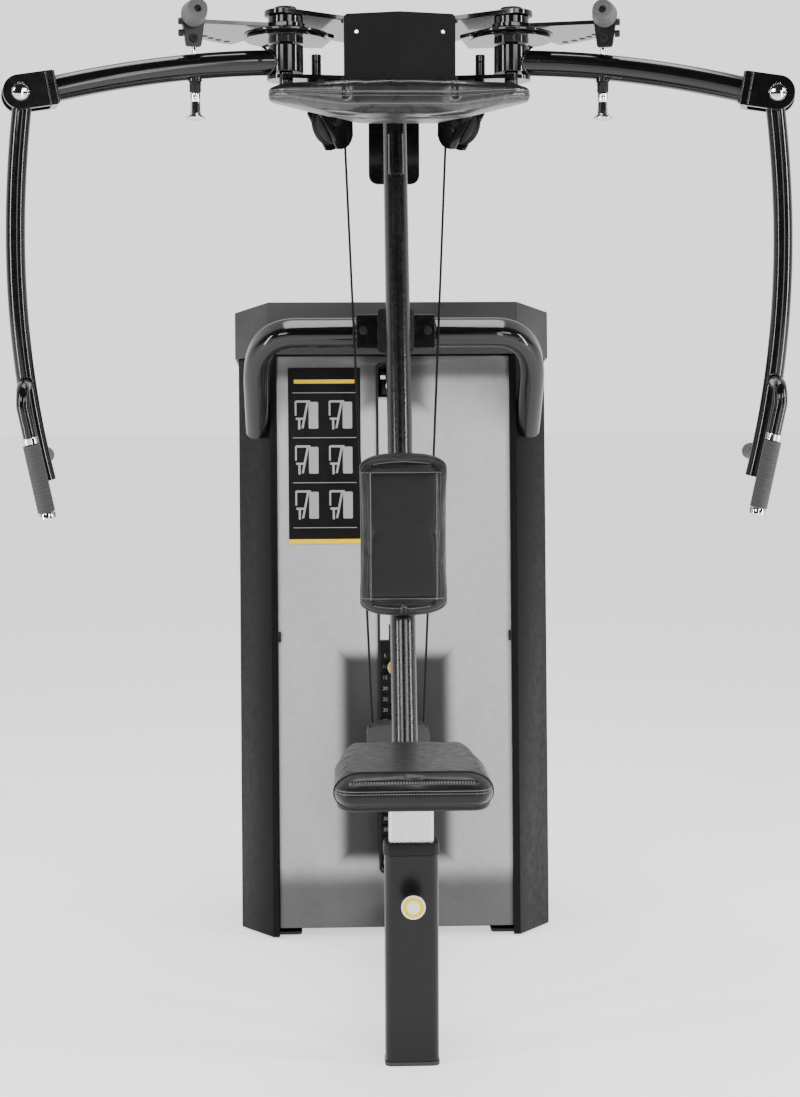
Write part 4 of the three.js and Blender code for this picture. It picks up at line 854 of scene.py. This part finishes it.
def make_arm(name, side):
    body = name + "_arm_unit"
    place = arm_place(side)
    slot = slots[name + "_arm"]
    arm = Shape(place)
    curve = bezier([(-24, 0, 1915), (-240, 0, 1905), (-470, 0, 1845)], 48)
    arm.tube(curve, TUBE_RADIUS, 48)
    barrel = [(1895, HUB_RADIUS - 1), (1896, HUB_RADIUS), (1948, HUB_RADIUS), (1949, HUB_RADIUS - 1)]
    arm.lathe((0, 0, 0), (0, 0, 1), barrel, 72)
    tilt = Matrix.Translation((-CLEVIS_RADIAL, 0, CLEVIS_Z)) @ Matrix.Rotation(-CLEVIS_TILT, 4, "Y")
    half = EAR_WIDTH / 2
    ear = arc(0, 0, half, 90, 270, 36) + [(58, -half), (58, half)]
    plane = Matrix(((1, 0, 0, 0), (0, 0, 1, 0), (0, 1, 0, 0), (0, 0, 0, 1)))
    for low in (-EAR_OUTER, EAR_INNER):
        arm.prism(ear, low, low + EAR_OUTER - EAR_INNER, tilt @ plane)
    plate = [(55, -EAR_OUTER), (69, -EAR_OUTER), (69, EAR_OUTER), (55, EAR_OUTER)]
    arm.prism(plate, -half, half, tilt)
    arm.lathe((-PIN_RADIAL, 0, 1871), (0, 0, 1), [(0, 14), (10, 14)], 32)
    arm.stand_for(name + "_arm", name + "_arm_weldment", body, "black_paint", bevel=1.4)

    beads = Shape(place)
    ring = []
    for i in range(72):
        turn = 2 * math.pi * i / 72
        y, z = TUBE_RADIUS * math.cos(turn), 1914.3 + TUBE_RADIUS * math.sin(turn)
        ring.append((-math.sqrt(max(HUB_RADIUS**2 - y * y, 1)) - 0.8, y, z))
    beads.bead(ring, 2.6, seed=21, hint=(1, 0, 0))
    beads.bead(circle_points(curve[-1] + Vector((7, 0, 1.8)), curve[-1] - curve[-3], 26), 2.6, seed=22)
    for x in (54.5, 70):
        edge = []
        for i in range(34):
            edge.append(tilt @ Vector((x, -EAR_OUTER - 0.6, -half + 2 + (2 * half - 4) * i / 33)))
        beads.bead(edge, 2.3, seed=23 + int(x), closed=False, hint=(1, 0, 0))
    beads.make(name + "_arm_welds", body, slot, "black_paint")
    trim = Shape(place)
    trim.lathe((-58, -24, 1914), (0, -1, 0.25), [(0, 4), (3.4, 4), (4, 3.2), (4, 0)], 20)
    trim.make(name + "_arm_boss", body, slot, "black_plastic")

    pin = Shape(place)
    reach = EAR_OUTER + 5
    profile = [(-reach, 12), (-reach + 1.6, 15), (reach - 1.6, 15), (reach, 12)]
    pin.lathe((-CLEVIS_RADIAL, 0, CLEVIS_Z), (0, 1, 0), profile, 64)
    for end in (-1, 1):
        ring = [(end * 31.4, 15.2), (end * 31.4, 17), (end * 33.2, 17), (end * 33.2, 15.2)]
        pin.lathe((-CLEVIS_RADIAL, 0, CLEVIS_Z), (0, 1, 0), ring, 64, closed=True)
        for lug in (-3.4, 3.4):
            at = (-CLEVIS_RADIAL + lug, end * 31.4, CLEVIS_Z + 17.4)
            pin.lathe(at, (0, end, 0), [(0, 2), (1.8, 2)], 20)
    node = name + "_clevis_pin"
    pin.stand_for(node, node + "_turned", body, "chrome", bevel=0.3)

    barrel = Shape(place)
    barrel.lathe((-PIN_RADIAL, 0, 1850), (0, 0, 1), [(0, 10.5), (1, 11.5), (13.5, 11.5)], 40)
    barrel.lathe((-PIN_RADIAL, 0, 1863), (0, 0, 1), [(0, 12), (8, 12)], 6)
    housing = name + "_pin_housing"
    barrel.stand_for(housing, name + "_start_pin_nut", body, "black_plastic", bevel=0.6)
    pull = Shape(place)
    profile = [(1797, 16), (1797.6, 19.4), (1799, 20), (1801, 19), (1806, 12.6), (1812, 10.4), (1830, 10)]
    profile += [(1831, 9.2), (1832, 10), (1846, 10.4), (1849.4, 9.6), (1849.6, 5), (1983.3, 5)]
    pull.lathe((-PIN_RADIAL, 0, 0), (0, 0, 1), profile, 56)
    node = name + "_start_pin"
    pull.stand_for(node, node + "_turned", name + "_plunger", "chrome")


# ---------------------------------------------------------------- forearms and hand grips
FOREARM_CURVE = [(-528, 0, 1812), (-558, 0, 1567), (-553, 0, 1321), (-494, 0, 1076)]
HANDLE = {"turn": 9, "radius": 12.7, "weld": 529, "reach": 100, "top": 1268, "elbow": 1262, "bend": 1222}
GRIP = {"radius": 17, "start": 74, "length": 134}


def make_forearm(name, side):
    body = name + "_forearm_unit"
    place = arm_place(side)
    slot = slots[name + "_forearm"]
    forearm = Shape(place)
    forearm.tube(bezier(FOREARM_CURVE, 72), FOREARM_RADIUS, 44)
    hub = EAR_INNER - 0.6
    eye = [(-hub, 24), (-hub + 1, 25), (hub - 1, 25), (hub, 24)]
    forearm.lathe((-CLEVIS_RADIAL, 0, CLEVIS_Z), (0, 1, 0), eye)
    turn = math.radians(HANDLE["turn"])
    forward = Vector((-math.sin(turn), -math.cos(turn), 0))
    slope = Vector((30, 0, -146)).normalized()
    weld = Vector((-HANDLE["weld"], 0, HANDLE["top"]))
    elbow = weld + forward * (HANDLE["reach"] - 34)
    elbow.z = HANDLE["elbow"]
    bend = weld + forward * HANDLE["reach"]
    bend.z = HANDLE["bend"]
    grip_top = bend + slope * GRIP["start"]
    grip_end = grip_top + slope * GRIP["length"]
    run = bezier([weld, elbow], 8)[:-1] + bezier([elbow, elbow + forward * 32, bend], 18)
    run += bezier([bend, grip_top], 6)[1:]
    forearm.tube(run, HANDLE["radius"], 32, hint=forward.cross(Vector((0, 0, 1))))
    root = Vector((-506, 0, 1130))
    peg_end = root - forward * 150
    peg_end.z = 1124
    away = (peg_end - root).normalized()
    forearm.lathe(root, away, [(0, 15), (28, 15), (30, 13.5)], 40)
    forearm.stand_for(name + "_forearm", name + "_forearm_weldment", body, "black_paint", bevel=0.6)

    beads = Shape(place)
    beads.bead(circle_points(weld + forward * 19.5, forward, 13.2), 2.0, seed=31)
    beads.bead(circle_points(root + away * 19, away, 15.4), 2.0, seed=32)
    beads.make(name + "_forearm_welds", body, slot, "black_paint")

    rings = Shape(place)
    upper = [(0.6, 15), (1.4, 16), (12.6, 16), (13.8, 15), (13.8, 12.8), (0.6, 12.8)]
    lower = [(0.4, 14), (0.6, 15.4), (1.4, 16), (11.6, 16), (12.8, 14.8), (13, 11), (12, 0)]
    peg = [(0, 15), (0.8, 16), (3.6, 16), (4.5, 14.6), (4.6, 8), (4.2, 0)]
    rings.lathe(grip_top, -slope, upper, 56, closed=True)
    rings.lathe(grip_end, slope, lower, 56)
    rings.lathe(peg_end, away, peg, 48)
    rings.make(name + "_grip_rings", body, "chrome", "chrome")

    for grip, start, end in (
        ("front", grip_top, grip_end),
        ("rear", root.lerp(peg_end, 0.21), root.lerp(peg_end, 0.995)),
    ):
        node = f"{name}_{grip}_grip"
        length = (end - start).length
        profile = [(0.5, 12.8), (0.6, 16), (1.6, GRIP["radius"])]
        grooves = int(length // 7)
        for i in range(1, grooves):
            at = i * length / grooves
            profile += [(at - 0.9, GRIP["radius"]), (at - 0.4, GRIP["radius"] - 0.35)]
            profile += [(at + 0.4, GRIP["radius"] - 0.35), (at + 0.9, GRIP["radius"])]
        profile += [(length - 1.6, GRIP["radius"]), (length - 0.6, 16), (length - 0.5, 12.8)]
        sleeve = Shape(place).lathe(start, end - start, profile, 56)
        sleeve.stand_for(node, node + "_sleeve", body, "grip_rubber")


# ---------------------------------------------------------------- pulleys and cables
# The left side cable runs off its cam's edge, over the top pulley's wheel and down to the lower housing.
CAM_EDGE, CAM_TOP = 80, 1965
WHEEL, WHEEL_RADIUS, WHEEL_WRAP = (-141, 60, 1829), 45, 66
CABLE_FOOT = (-57, 110, 519.6)
# Seen from above, the cable is the tangent from the cam's edge to the middle of the wheel.
ASIDE, BEHIND = PIVOT_X + WHEEL[0], WHEEL[1] - PIVOT_Y
CABLE_TURN = math.atan2(BEHIND, ASIDE) - math.asin(CAM_EDGE / math.hypot(ASIDE, BEHIND))


def make_top_pulley(name, side):
    centre = middle(name + "_top_pulley")
    axle = Vector((-math.sin(CABLE_TURN), math.cos(CABLE_TURN), 0))
    if side > 0:
        axle.x = -axle.x
    profile = [(-12, 20), (-12, 45), (-11, 47), (-7, 47), (-4, 43), (-2.6, 41.6), (0, 41.2)]
    profile += [(-d, r) for d, r in reversed(profile[:-1])]
    wheel = Shape().lathe(centre, axle, profile, 80)
    node = name + "_top_pulley"
    wheel.stand_for(node, node + "_wheel", name + "_wheel", "black_plastic")
    bolts = Shape()
    for end in (-1, 1):
        hex_bolt(bolts, centre + axle * end * 18, axle * end, 15, 6, 11)
    bolts.make(name + "_pulley_bolts", "frame", slots[name + "_pulley_guard"], "black_plastic")


def cable_points(side):
    along = Vector((math.cos(CABLE_TURN), math.sin(CABLE_TURN), 0))
    axle = Vector((-along.y, along.x, 0))
    centre = Vector(WHEEL)
    start = Vector((-PIVOT_X, PIVOT_Y, CAM_TOP)) + axle * CAM_EDGE + along * 4
    wrap = []
    for step in range(13):
        angle = math.radians(WHEEL_WRAP - step * WHEEL_WRAP / 12)
        lift = Vector((0, 0, WHEEL_RADIUS * math.sin(angle)))
        wrap.append(centre + along * WHEEL_RADIUS * math.cos(angle) + lift)
    points = [start] + [start.lerp(wrap[0], t) for t in (0.3, 0.6, 0.9)] + wrap
    points += [wrap[-1].lerp(Vector(CABLE_FOOT), t) for t in (0.02, 0.1, 0.3, 0.6, 0.85, 1.0)]
    if side > 0:
        points = [Vector((-p.x, p.y, p.z)) for p in points]
    return points


def make_cables():
    for name, side in SIDES.items():
        node = name + "_cable"
        line = Shape().tube(cable_points(side), 2.5, 16, hint=(0, 0, 1))
        line.stand_for(node, node + "_run", "frame", "cable")


# ---------------------------------------------------------------- soft pads
VOXEL_M, CLOTH_FRAMES, CLOTH_PRESSURE, CLOTH_CAP_M = 0.005, 20, 4.0, 0.005
# How far the seat starts outside its solid, because its skin draws in as it fills.
SWELL = 6


def inflate(obj):
    """Fills a pad by cloth pressure, and caps how far each point may move."""
    activate(obj)
    remesh = obj.modifiers.new("remesh", "REMESH")
    remesh.mode, remesh.voxel_size = "VOXEL", VOXEL_M
    bpy.ops.object.modifier_apply(modifier="remesh")
    before = [v.co.copy() for v in obj.data.vertices]
    cloth = obj.modifiers.new("cloth", "CLOTH")
    settings = cloth.settings
    settings.use_pressure = True
    settings.uniform_pressure_force = CLOTH_PRESSURE
    settings.effector_weights.gravity = 0
    settings.quality = 5
    scene = bpy.context.scene
    for step in range(1, CLOTH_FRAMES + 1):
        scene.frame_set(step)
    bpy.ops.object.modifier_apply(modifier="cloth")
    scene.frame_set(1)
    for vertex, start in zip(obj.data.vertices, before):
        shift = vertex.co - start
        if shift.length > CLOTH_CAP_M:
            vertex.co = start + shift.normalized() * CLOTH_CAP_M


def activate(obj):
    bpy.ops.object.select_all(action="DESELECT")
    bpy.context.view_layer.objects.active = obj
    obj.select_set(True)


def pad_object(name, rings):
    pad = Shape().loft(rings).object(name)
    inflate(pad)
    activate(pad)
    finer = pad.modifiers.new("finer", "SUBSURF")
    finer.levels = finer.render_levels = 1
    bpy.ops.object.modifier_apply(modifier="finer")
    return pad


def press_seams(pad, seams, depth, width):
    """Pulls the skin in along each seam; a seam is a run of (place in millimetres, normal)."""
    points = [place * MM for seam in seams for place, _ in seam]
    tree = KDTree(len(points))
    for i, point in enumerate(points):
        tree.insert(point, i)
    tree.balance()
    reach = width * 2.2 * MM
    normals = [v.normal.copy() for v in pad.data.vertices]
    for vertex, normal in zip(pad.data.vertices, normals):
        _, _, distance = tree.find(vertex.co)
        if distance < reach:
            vertex.co -= normal * depth * MM * math.exp(-((distance / (width * MM)) ** 2))


def surface_run(pad, guide, centre):
    """Points of a guide line moved on to the pad's skin, aiming at centre(point); with the skin's normals."""
    tree = BVHTree.FromObject(pad, bpy.context.evaluated_depsgraph_get())
    found = []
    for point in guide:
        start = Vector(point) * MM
        target = Vector(centre(point)) * MM
        direction = (target - start).normalized()
        place, normal, _, _ = tree.ray_cast(start - direction * 0.08, direction)
        if place:
            found.append((place / MM, normal))
    return found


def resample(points, spacing):
    points = [Vector(p) for p in points]
    out, carried = [points[0]], 0.0
    for a, b in zip(points, points[1:]):
        length = (b - a).length
        at = spacing - carried
        while at <= length:
            out.append(a.lerp(b, at / length))
            at += spacing
        carried = (carried + length) % spacing
    return out


STITCH = {"spacing": 5.2, "length": 3.4, "radius": 0.75}


def stitch_run(pad, guide, centre):
    return surface_run(pad, resample(guide, STITCH["spacing"]), centre)


def seam_run(pad, guide, centre):
    return surface_run(pad, resample(guide, 1.5), centre)


def stitches(name, body, slot, runs):
    """Short raised threads along runs of (place, normal)."""
    thread = Shape()
    for run in runs:
        for (place, normal), (after, _) in zip(run, run[1:]):
            along = after - place
            if not 1 < along.length < 9:
                continue
            along.normalize()
            middle_point = place + normal * 0.25
            half = STITCH["length"] / 2
            ends = [middle_point + along * t * half for t in (-1, -0.6, 0, 0.6, 1)]
            sizes = [0.15, 0.9, 1.0, 0.9, 0.15]
            rings = []
            across = normal.cross(along).normalized()
            for end, size in zip(ends, sizes):
                rings.append(circle(end, across, normal, STITCH["radius"] * size, 6))
            thread.loft(rings)
    if thread.faces:
        thread.make(name, body, slot, "thread")


def finish_pad(pad, body, node, finish="vinyl"):
    pad.data.materials.clear()
    pad.data.materials.append(finishes[finish])
    pad.data.shade_smooth()
    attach(pad, body)
    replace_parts(pad, node)


def shrink(outline, amount):
    """Moves an outline's points towards its middle by about amount."""
    cx = sum(x for x, _ in outline) / len(outline)
    cy = sum(y for _, y in outline) / len(outline)
    moved = []
    for x, y in outline:
        length = math.hypot(x - cx, y - cy)
        moved.append((x - (x - cx) / length * amount, y - (y - cy) / length * amount))
    return moved


def soften(outline, cut, steps=6):
    """Rounds each corner of a polygon."""
    points = [Vector((x, y, 0)) for x, y in outline]
    made = []
    for i, corner in enumerate(points):
        before, after = points[i - 1], points[(i + 1) % len(points)]
        reach = min(cut, (before - corner).length * 0.45, (after - corner).length * 0.45)
        start = corner + (before - corner).normalized() * reach
        end = corner + (after - corner).normalized() * reach
        made += [(p.x, p.y) for p in bezier([start, corner, end], steps)]
    return made


def around(outline, z):
    """A closed guide line round an outline at one height."""
    run = [(x, y, z) for x, y in outline]
    return run + [run[0]]


# The tray under the seat: inset from the seat's plan, and height over the seat's base.
PAN_LEVELS = ((26, -5), (16, -5), (12, -2), (12, 5))


def make_seat():
    low, high = box_mm("seat_cushion")
    half, rear = (high.x - low.x) / 2 + SWELL, 121.5 + SWELL
    front, back = low.y - SWELL, high.y + SWELL

    def outline(side, nose):
        """The plan at one level: inset by side all round, and by nose at the front."""
        wide, end = half - side, front + nose
        plan = [(-wide + 18, end), (wide - 18, end), (wide, end + 36), (wide, front + 230)]
        plan += [(rear - side, back - 18), (rear - side - 22, back - side), (-rear + side + 22, back - side)]
        plan += [(-rear + side, back - 18), (-wide, front + 230), (-wide, end + 36)]
        return soften(plan, 30)

    base = low.z
    levels = [(0, 12, 10), (4, 7, 5), (13, 2, 1), (24, 0, 0), (34, 1, 2), (42, 6, 12), (50, 14, 26)]
    levels.append((55, 24, 42))
    rings = [[(x, y, base + z) for x, y in outline(side, nose)] for z, side, nose in levels]
    pad = pad_object("seat_cushion_upholstered", rings)
    trim_to_box(pad, low, high)
    centre = lambda point: (point[0] * 0.4, (front + back) / 2, point[2])
    plan = outline(2, 2)
    lower, bottom = (seam_run(pad, around(plan, base + z), centre) for z in (30, 7))
    bow = [t / 40 for t in range(-14, 141)]
    arch = [(half * 1.2 * math.cos(t), front + 46, base + 20 + 60 * math.sin(t)) for t in bow]
    welt = surface_run(pad, arch, lambda point: (point[0] * 0.2, point[1], base + 24))
    brow = [(x, front + 20, base + 46 - 3 * (x / half) ** 2) for x in range(-112, 113, 2)]
    behind_brow = lambda point: (point[0], point[1] + 60, point[2] - 30)
    upper = surface_run(pad, brow, behind_brow)
    press_seams(pad, (lower, bottom, upper, welt), 1.5, 2.6)
    rows = [stitch_run(pad, around(plan, base + height), centre) for height in (32.5, 27.5)]
    for shift in (-2.6, 2.6):
        rows.append(stitch_run(pad, [(x, y + shift, z) for x, y, z in brow], behind_brow))
    finish_pad(pad, "seat", "seat_cushion")
    stitches("seat_stitching", "seat", slots["seat_cushion"], rows)
    piping = Shape().tube([place - normal * 0.4 for place, normal in welt], 2.0, 12, hint=(0, 1, 0))
    piping.make("seat_piping", "seat", slots["seat_cushion"], "black_plastic")
    pan = Shape().loft([[(x, y, base + z) for x, y in shrink(plan, inset)] for inset, z in PAN_LEVELS])
    pan.prism(rounded(150, 250, 12, 0, (low.y + high.y) / 2), base - 12, base - 4)
    pan.make("seat_pan", "seat", "black_plastic", "black_plastic", bevel=0.8)


def trim_to_box(pad, low, high, spare=3.0):
    """Keeps a swollen pad inside its CAD solid's box, apart from a few millimetres."""
    for vertex in pad.data.vertices:
        for axis in range(3):
            floor, ceiling = (low[axis] - spare) * MM, (high[axis] + spare) * MM
            vertex.co[axis] = min(max(vertex.co[axis], floor), ceiling)


def make_back_pad():
    low, high = box_mm("back_pad")
    mid = (low.z + high.z) / 2 - 2
    half, tall = (high.x - low.x) / 2, (high.z - low.z) / 2
    face, back = low.y, high.y

    def panel(width, height, arch):
        """A rectangle whose top and bottom bow outwards by arch, full in the shoulders."""
        found = []
        for end in (1, -1):
            for i in range(33):
                t = math.pi * i / 32
                x = width * math.copysign(abs(math.cos(t)) ** 0.8, math.cos(t))
                found.append((end * x, end * (height + arch * math.sin(t) ** 0.8)))
        return found

    rings = []
    for depth, width, height, arch in (
        (0, half + 6, tall - 28, 36),
        (6, half + 9, tall - 27, 36),
        (24, half + 7, tall - 28, 32),
        (36, half + 1, tall - 30, 18),
        (46, half - 8, tall - 32, 5),
        (50, half - 14, tall - 36, 1),
    ):
        outline = panel(width, height, arch)
        rings.append([(x, back - depth * 0.94, mid + z) for x, z in outline])
    pad = pad_object("back_pad_upholstered", rings)
    trim_to_box(pad, low, high, 5.0)
    centre = lambda point: (point[0] * 0.3, (face + back) / 2 + 6, mid + (point[2] - mid) * 0.6)
    straight = lambda point: (point[0], back, point[2])
    wide, high_seam = half - 13, tall - 31
    across = [[(x, face - 20, mid + end * high_seam) for x in range(-82, 83, 2)] for end in (1, -1)]
    down = [[(side * wide, face - 20, mid + z) for z in range(-128, 129, 2)] for side in (1, -1)]
    seams = [surface_run(pad, run, straight) for run in across + down]
    rim = [(x, face + 24, mid + z) for x, z in panel(half - 4, tall - 22, 24)]
    seams.append(seam_run(pad, rim, centre))
    press_seams(pad, seams, 1.6, 2.4)
    folds = [[(x, face - 20, mid + end * (tall - 25)) for x in range(-56, 57, 2)] for end in (1, -1)]
    folds.append([(0, face - 20, mid - z) for z in range(int(tall) - 20, int(tall), 2)])
    press_seams(pad, [surface_run(pad, run, straight) for run in folds], 3.5, 4.5)
    rows = []
    for run in across:
        inward = -4 if run[0][2] > mid else 4
        rows.append([(x, y, z + inward) for x, y, z in run])
    for run in down:
        inward = -4 if run[0][0] > 0 else 4
        rows.append([(x + inward, y, z) for x, y, z in run])
    rows = [stitch_run(pad, row, straight) for row in rows]
    for end in (1, -1):
        row = [(x, face + 14, mid + end * (tall - 14 - (x / 24) ** 2)) for x in range(-58, 59, 2)]
        rows.append(stitch_run(pad, row, lambda point: (point[0], point[1] + 14, mid)))
    finish_pad(pad, "frame", "back_pad")
    stitches("back_pad_stitching", "frame", slots["back_pad"], rows)


def header_height(x, share):
    """Height over the pad's base: the top is level, and all that is below it rises towards the ends."""
    rise = min(max((abs(x) - 95) / 165, 0), 1)
    rise = rise * rise * (3 - 2 * rise)
    underside = 9 + 25 * rise
    return underside + (60 - underside) * share


def make_header_pad():
    low, high = box_mm("header_pad")
    outline = [(-270, -140), (-276, -188), (-240, -214), (-105, -258), (105, -258), (240, -214), (276, -188)]
    outline += [(270, -140), (74, -44), (-74, -44)]
    outline = soften(outline, 26)
    base = low.z
    # Each ring's share of the pad's height, and how far inside the outline it lies.
    levels = [(-0.14, 120), (-0.11, 60), (-0.07, 26), (0, 5), (0.12, 3), (0.45, 3), (0.8, 4), (0.93, 7)]
    levels.append((1, 12))
    rings = []
    for share, inset in levels:
        rings.append([(x, y, base + header_height(x, share)) for x, y in shrink(outline, inset)])
    pad = pad_object("header_pad_upholstered", rings)
    trim_to_box(pad, low, high, 6.0)
    centre = lambda point: (point[0] * 0.75, -150, point[2])

    def guide(share):
        run = [(x, y, base + header_height(x, share)) for x, y in outline]
        return run + [run[0]]

    seam, lower = (seam_run(pad, guide(share), centre) for share in (0.5, 0.05))
    press_seams(pad, (seam, lower), 1.6, 2.6)
    for x in (-112, 112):
        pleat = [(x, -262, base + header_height(x, share / 10)) for share in range(4, 11)]
        press_seams(pad, [surface_run(pad, pleat, centre)], 2.5, 6)
    rows = [stitch_run(pad, guide(share), centre) for share in (0.58, 0.42, 0.1)]
    finish_pad(pad, "frame", "header_pad", "header_vinyl")
    stitches("header_pad_stitching", "frame", slots["header_pad"], rows)


# ---------------------------------------------------------------- tower details
TOWER_Y, TOWER_LEAN = 223, math.radians(5)
PLATE_PITCH, PLATE_BOTTOM, PLATES, LIFTED = 25.4, 150, 20, 2
PANEL_FRONT = 6
SLOT = {"half": 35, "bottom": 152, "top": 1322}


def tower_place():
    return Matrix.Translation((0, TOWER_Y, 0)) @ Matrix.Rotation(-TOWER_LEAN, 4, "X")


def number_text(name, words, size, place, body, finish):
    curve = bpy.data.curves.new(name, "FONT")
    curve.body = words
    curve.size = size * MM
    curve.extrude = 0.15 * MM
    curve.align_x = curve.align_y = "CENTER"
    text = bpy.data.objects.new(name, curve)
    bpy.context.scene.collection.objects.link(text)
    text.matrix_world = place
    activate(text)
    bpy.ops.object.convert(target="MESH")
    text.data.materials.clear()
    text.data.materials.append(finishes[finish])
    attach(text, body)


def make_placard():
    """A plain instruction board: rules and small drawings of the machine, with no words and no figures."""
    left, right, low, high = -243, -76, 908, 1316
    mid, span = (left + right) / 2, right - left
    plane = front_view(5.6)
    board, drawings, bars, rules = (Shape(tower_place()) for _ in range(4))
    board.prism(rounded(span, high - low, 4, mid, (low + high) / 2), 0, 1.2, plane)
    board.make("placard_board", "frame", "black_plastic", "placard_black", bevel=0.3)
    for z in (1206, 1102, 998):
        for column in (-1, 1):
            centre = mid + column * span * 0.235
            parts = (
                rounded(22, 62, 3, centre + 14, z),
                [(centre - 14, z - 30), (centre - 9, z - 30), (centre + 3, z + 30), (centre - 2, z + 30)],
                rounded(34, 5, 2, centre - 10, z + 32),
                rounded(18, 5, 2, centre - 18, z - 8),
                rounded(4, 34, 1.8, centre - 27, z + 16),
                rounded(5, 24, 2, centre - 19, z - 21),
            )
            for i, part in enumerate(parts):
                drawings.prism(part, 1.2, 1.5 + 0.05 * i, plane)
        rules.prism(rounded(span * 0.88, 1.4, 0.6, mid, z + 52), 1.2, 1.5, plane)
    rules.prism(rounded(span * 0.88, 1.4, 0.6, mid, 946), 1.2, 1.5, plane)
    bars.prism(rounded(span, 11, 1, mid, low + 6), 1.2, 1.6, plane)
    bars.prism(rounded(span * 0.84, 9, 2, mid, 1284), 1.2, 1.6, plane)
    for name, shape, finish in (
        ("drawings", drawings, "grey_print"), ("rules", rules, "grey_print"), ("bars", bars, "yellow")
    ):
        shape.make("placard_" + name, "frame", "black_plastic", finish)


def make_stack_details():
    """Generic plate numbers, the selector's knob, and the add-on weight's knob."""
    place = tower_place()
    facing = Matrix.Rotation(math.radians(90), 4, "X")
    for index in range(PLATES):
        lifted = index >= PLATES - LIFTED
        z = PLATE_BOTTOM + (index + 0.5) * PLATE_PITCH + (0.4 if lifted else 0)
        body = "lifted_stack" if lifted else "frame"
        at = place @ Vector((-22, 69.6, z)) * MM
        turn = place.to_quaternion().to_matrix().to_4x4() @ facing
        words = str((PLATES - index) * 5)
        number = f"plate_number_{index + 1}"
        number_text(number, words, 12, Matrix.Translation(at) @ turn, body, "white_print_and_painted_reflection")
    pin_z = PLATE_BOTTOM + (PLATES - LIFTED) * PLATE_PITCH + 0.4 + 0.5 * PLATE_PITCH
    profile = [(0.6, 12), (0, 14), (1, 16.5), (6, 18), (22, 18), (27, 15), (28, 5), (84, 5)]
    knob = Shape(place).lathe((0, 36, pin_z), (0, 1, 0), profile)
    knob.stand_for("selector_pin", "selector_pin_knob", "selector", "black_plastic")
    knob_face_with_painted_reflection("selector_knob", "selector", place, (0, 36, pin_z), 17)
    knob_face_with_painted_reflection("add_on_knob", "add_on", place, (-4, 14, 1274), 12.6)


def make_tower_trim():
    """The trim round the slot, the panel's side clips and the lower housing's bolts."""
    place = tower_place()
    slot_mid, slot_tall = (SLOT["bottom"] + SLOT["top"]) / 2, SLOT["top"] - SLOT["bottom"]
    trim = Shape(place)
    rings = []
    for grow, depth in ((-0.8, 0.4), (-0.8, 2.6), (0, 3.4), (3.5, 3.4), (5, 2.2), (5, 0.4)):
        edge = rounded(2 * (SLOT["half"] + grow), slot_tall + 2 * grow, 8 + grow, 0, slot_mid, 8)
        rings.append([(x, PANEL_FRONT - depth, z) for x, z in edge])
    trim.loft(rings, closed=True)
    for x in (-266, 266):
        trim.prism(rounded(6, 24, 2, x, 694), 0.2, 4, front_view(PANEL_FRONT))
    trim.make("slot_trim", "frame", "black_plastic", "black_plastic", smooth=30)
    housing_low, housing_high = box_mm("lower_pulley_housing")
    middle_z = (housing_low.z + housing_high.z) / 2
    bosses = Shape()
    for z in (middle_z - 60, middle_z + 60):
        hex_bolt(bosses, (0, housing_low.y + 0.2, z), (0, -1, 0), 12, 5, 9)
    bosses.make("lower_housing_bolts", "frame", slots["lower_pulley_housing"], "black_plastic")


# ---------------------------------------------------------------- making it all
REPLACED = {
    "front_cover", "seat_post", "seat_collar", "seat_tube", "seat_pin_knob", "seat_pin_housing", "mast",
    "cross_tube", "boom_top_plate", "boom_lower_frame", "selector_pin", "seat_cushion", "back_pad",
    "header_pad",
}
for side_name in SIDES:
    for part in ("cam", "bumper", "arm", "clevis_pin", "pin_housing", "start_pin", "forearm", "front_grip"):
        REPLACED.add(f"{side_name}_{part}")
    REPLACED |= {f"{side_name}_rear_grip", f"{side_name}_top_pulley", f"{side_name}_cable"}

dress_cad(slots, REPLACED)
make_seat_column()
make_mast()
make_cross_tube()
make_boom()
for side_name, side_sign in SIDES.items():
    make_cam(side_name, side_sign)
    make_arm(side_name, side_sign)
    make_forearm(side_name, side_sign)
    make_top_pulley(side_name, side_sign)
make_cables()
make_seat()
make_back_pad()
make_header_pad()
make_placard()
make_stack_details()
make_tower_trim()
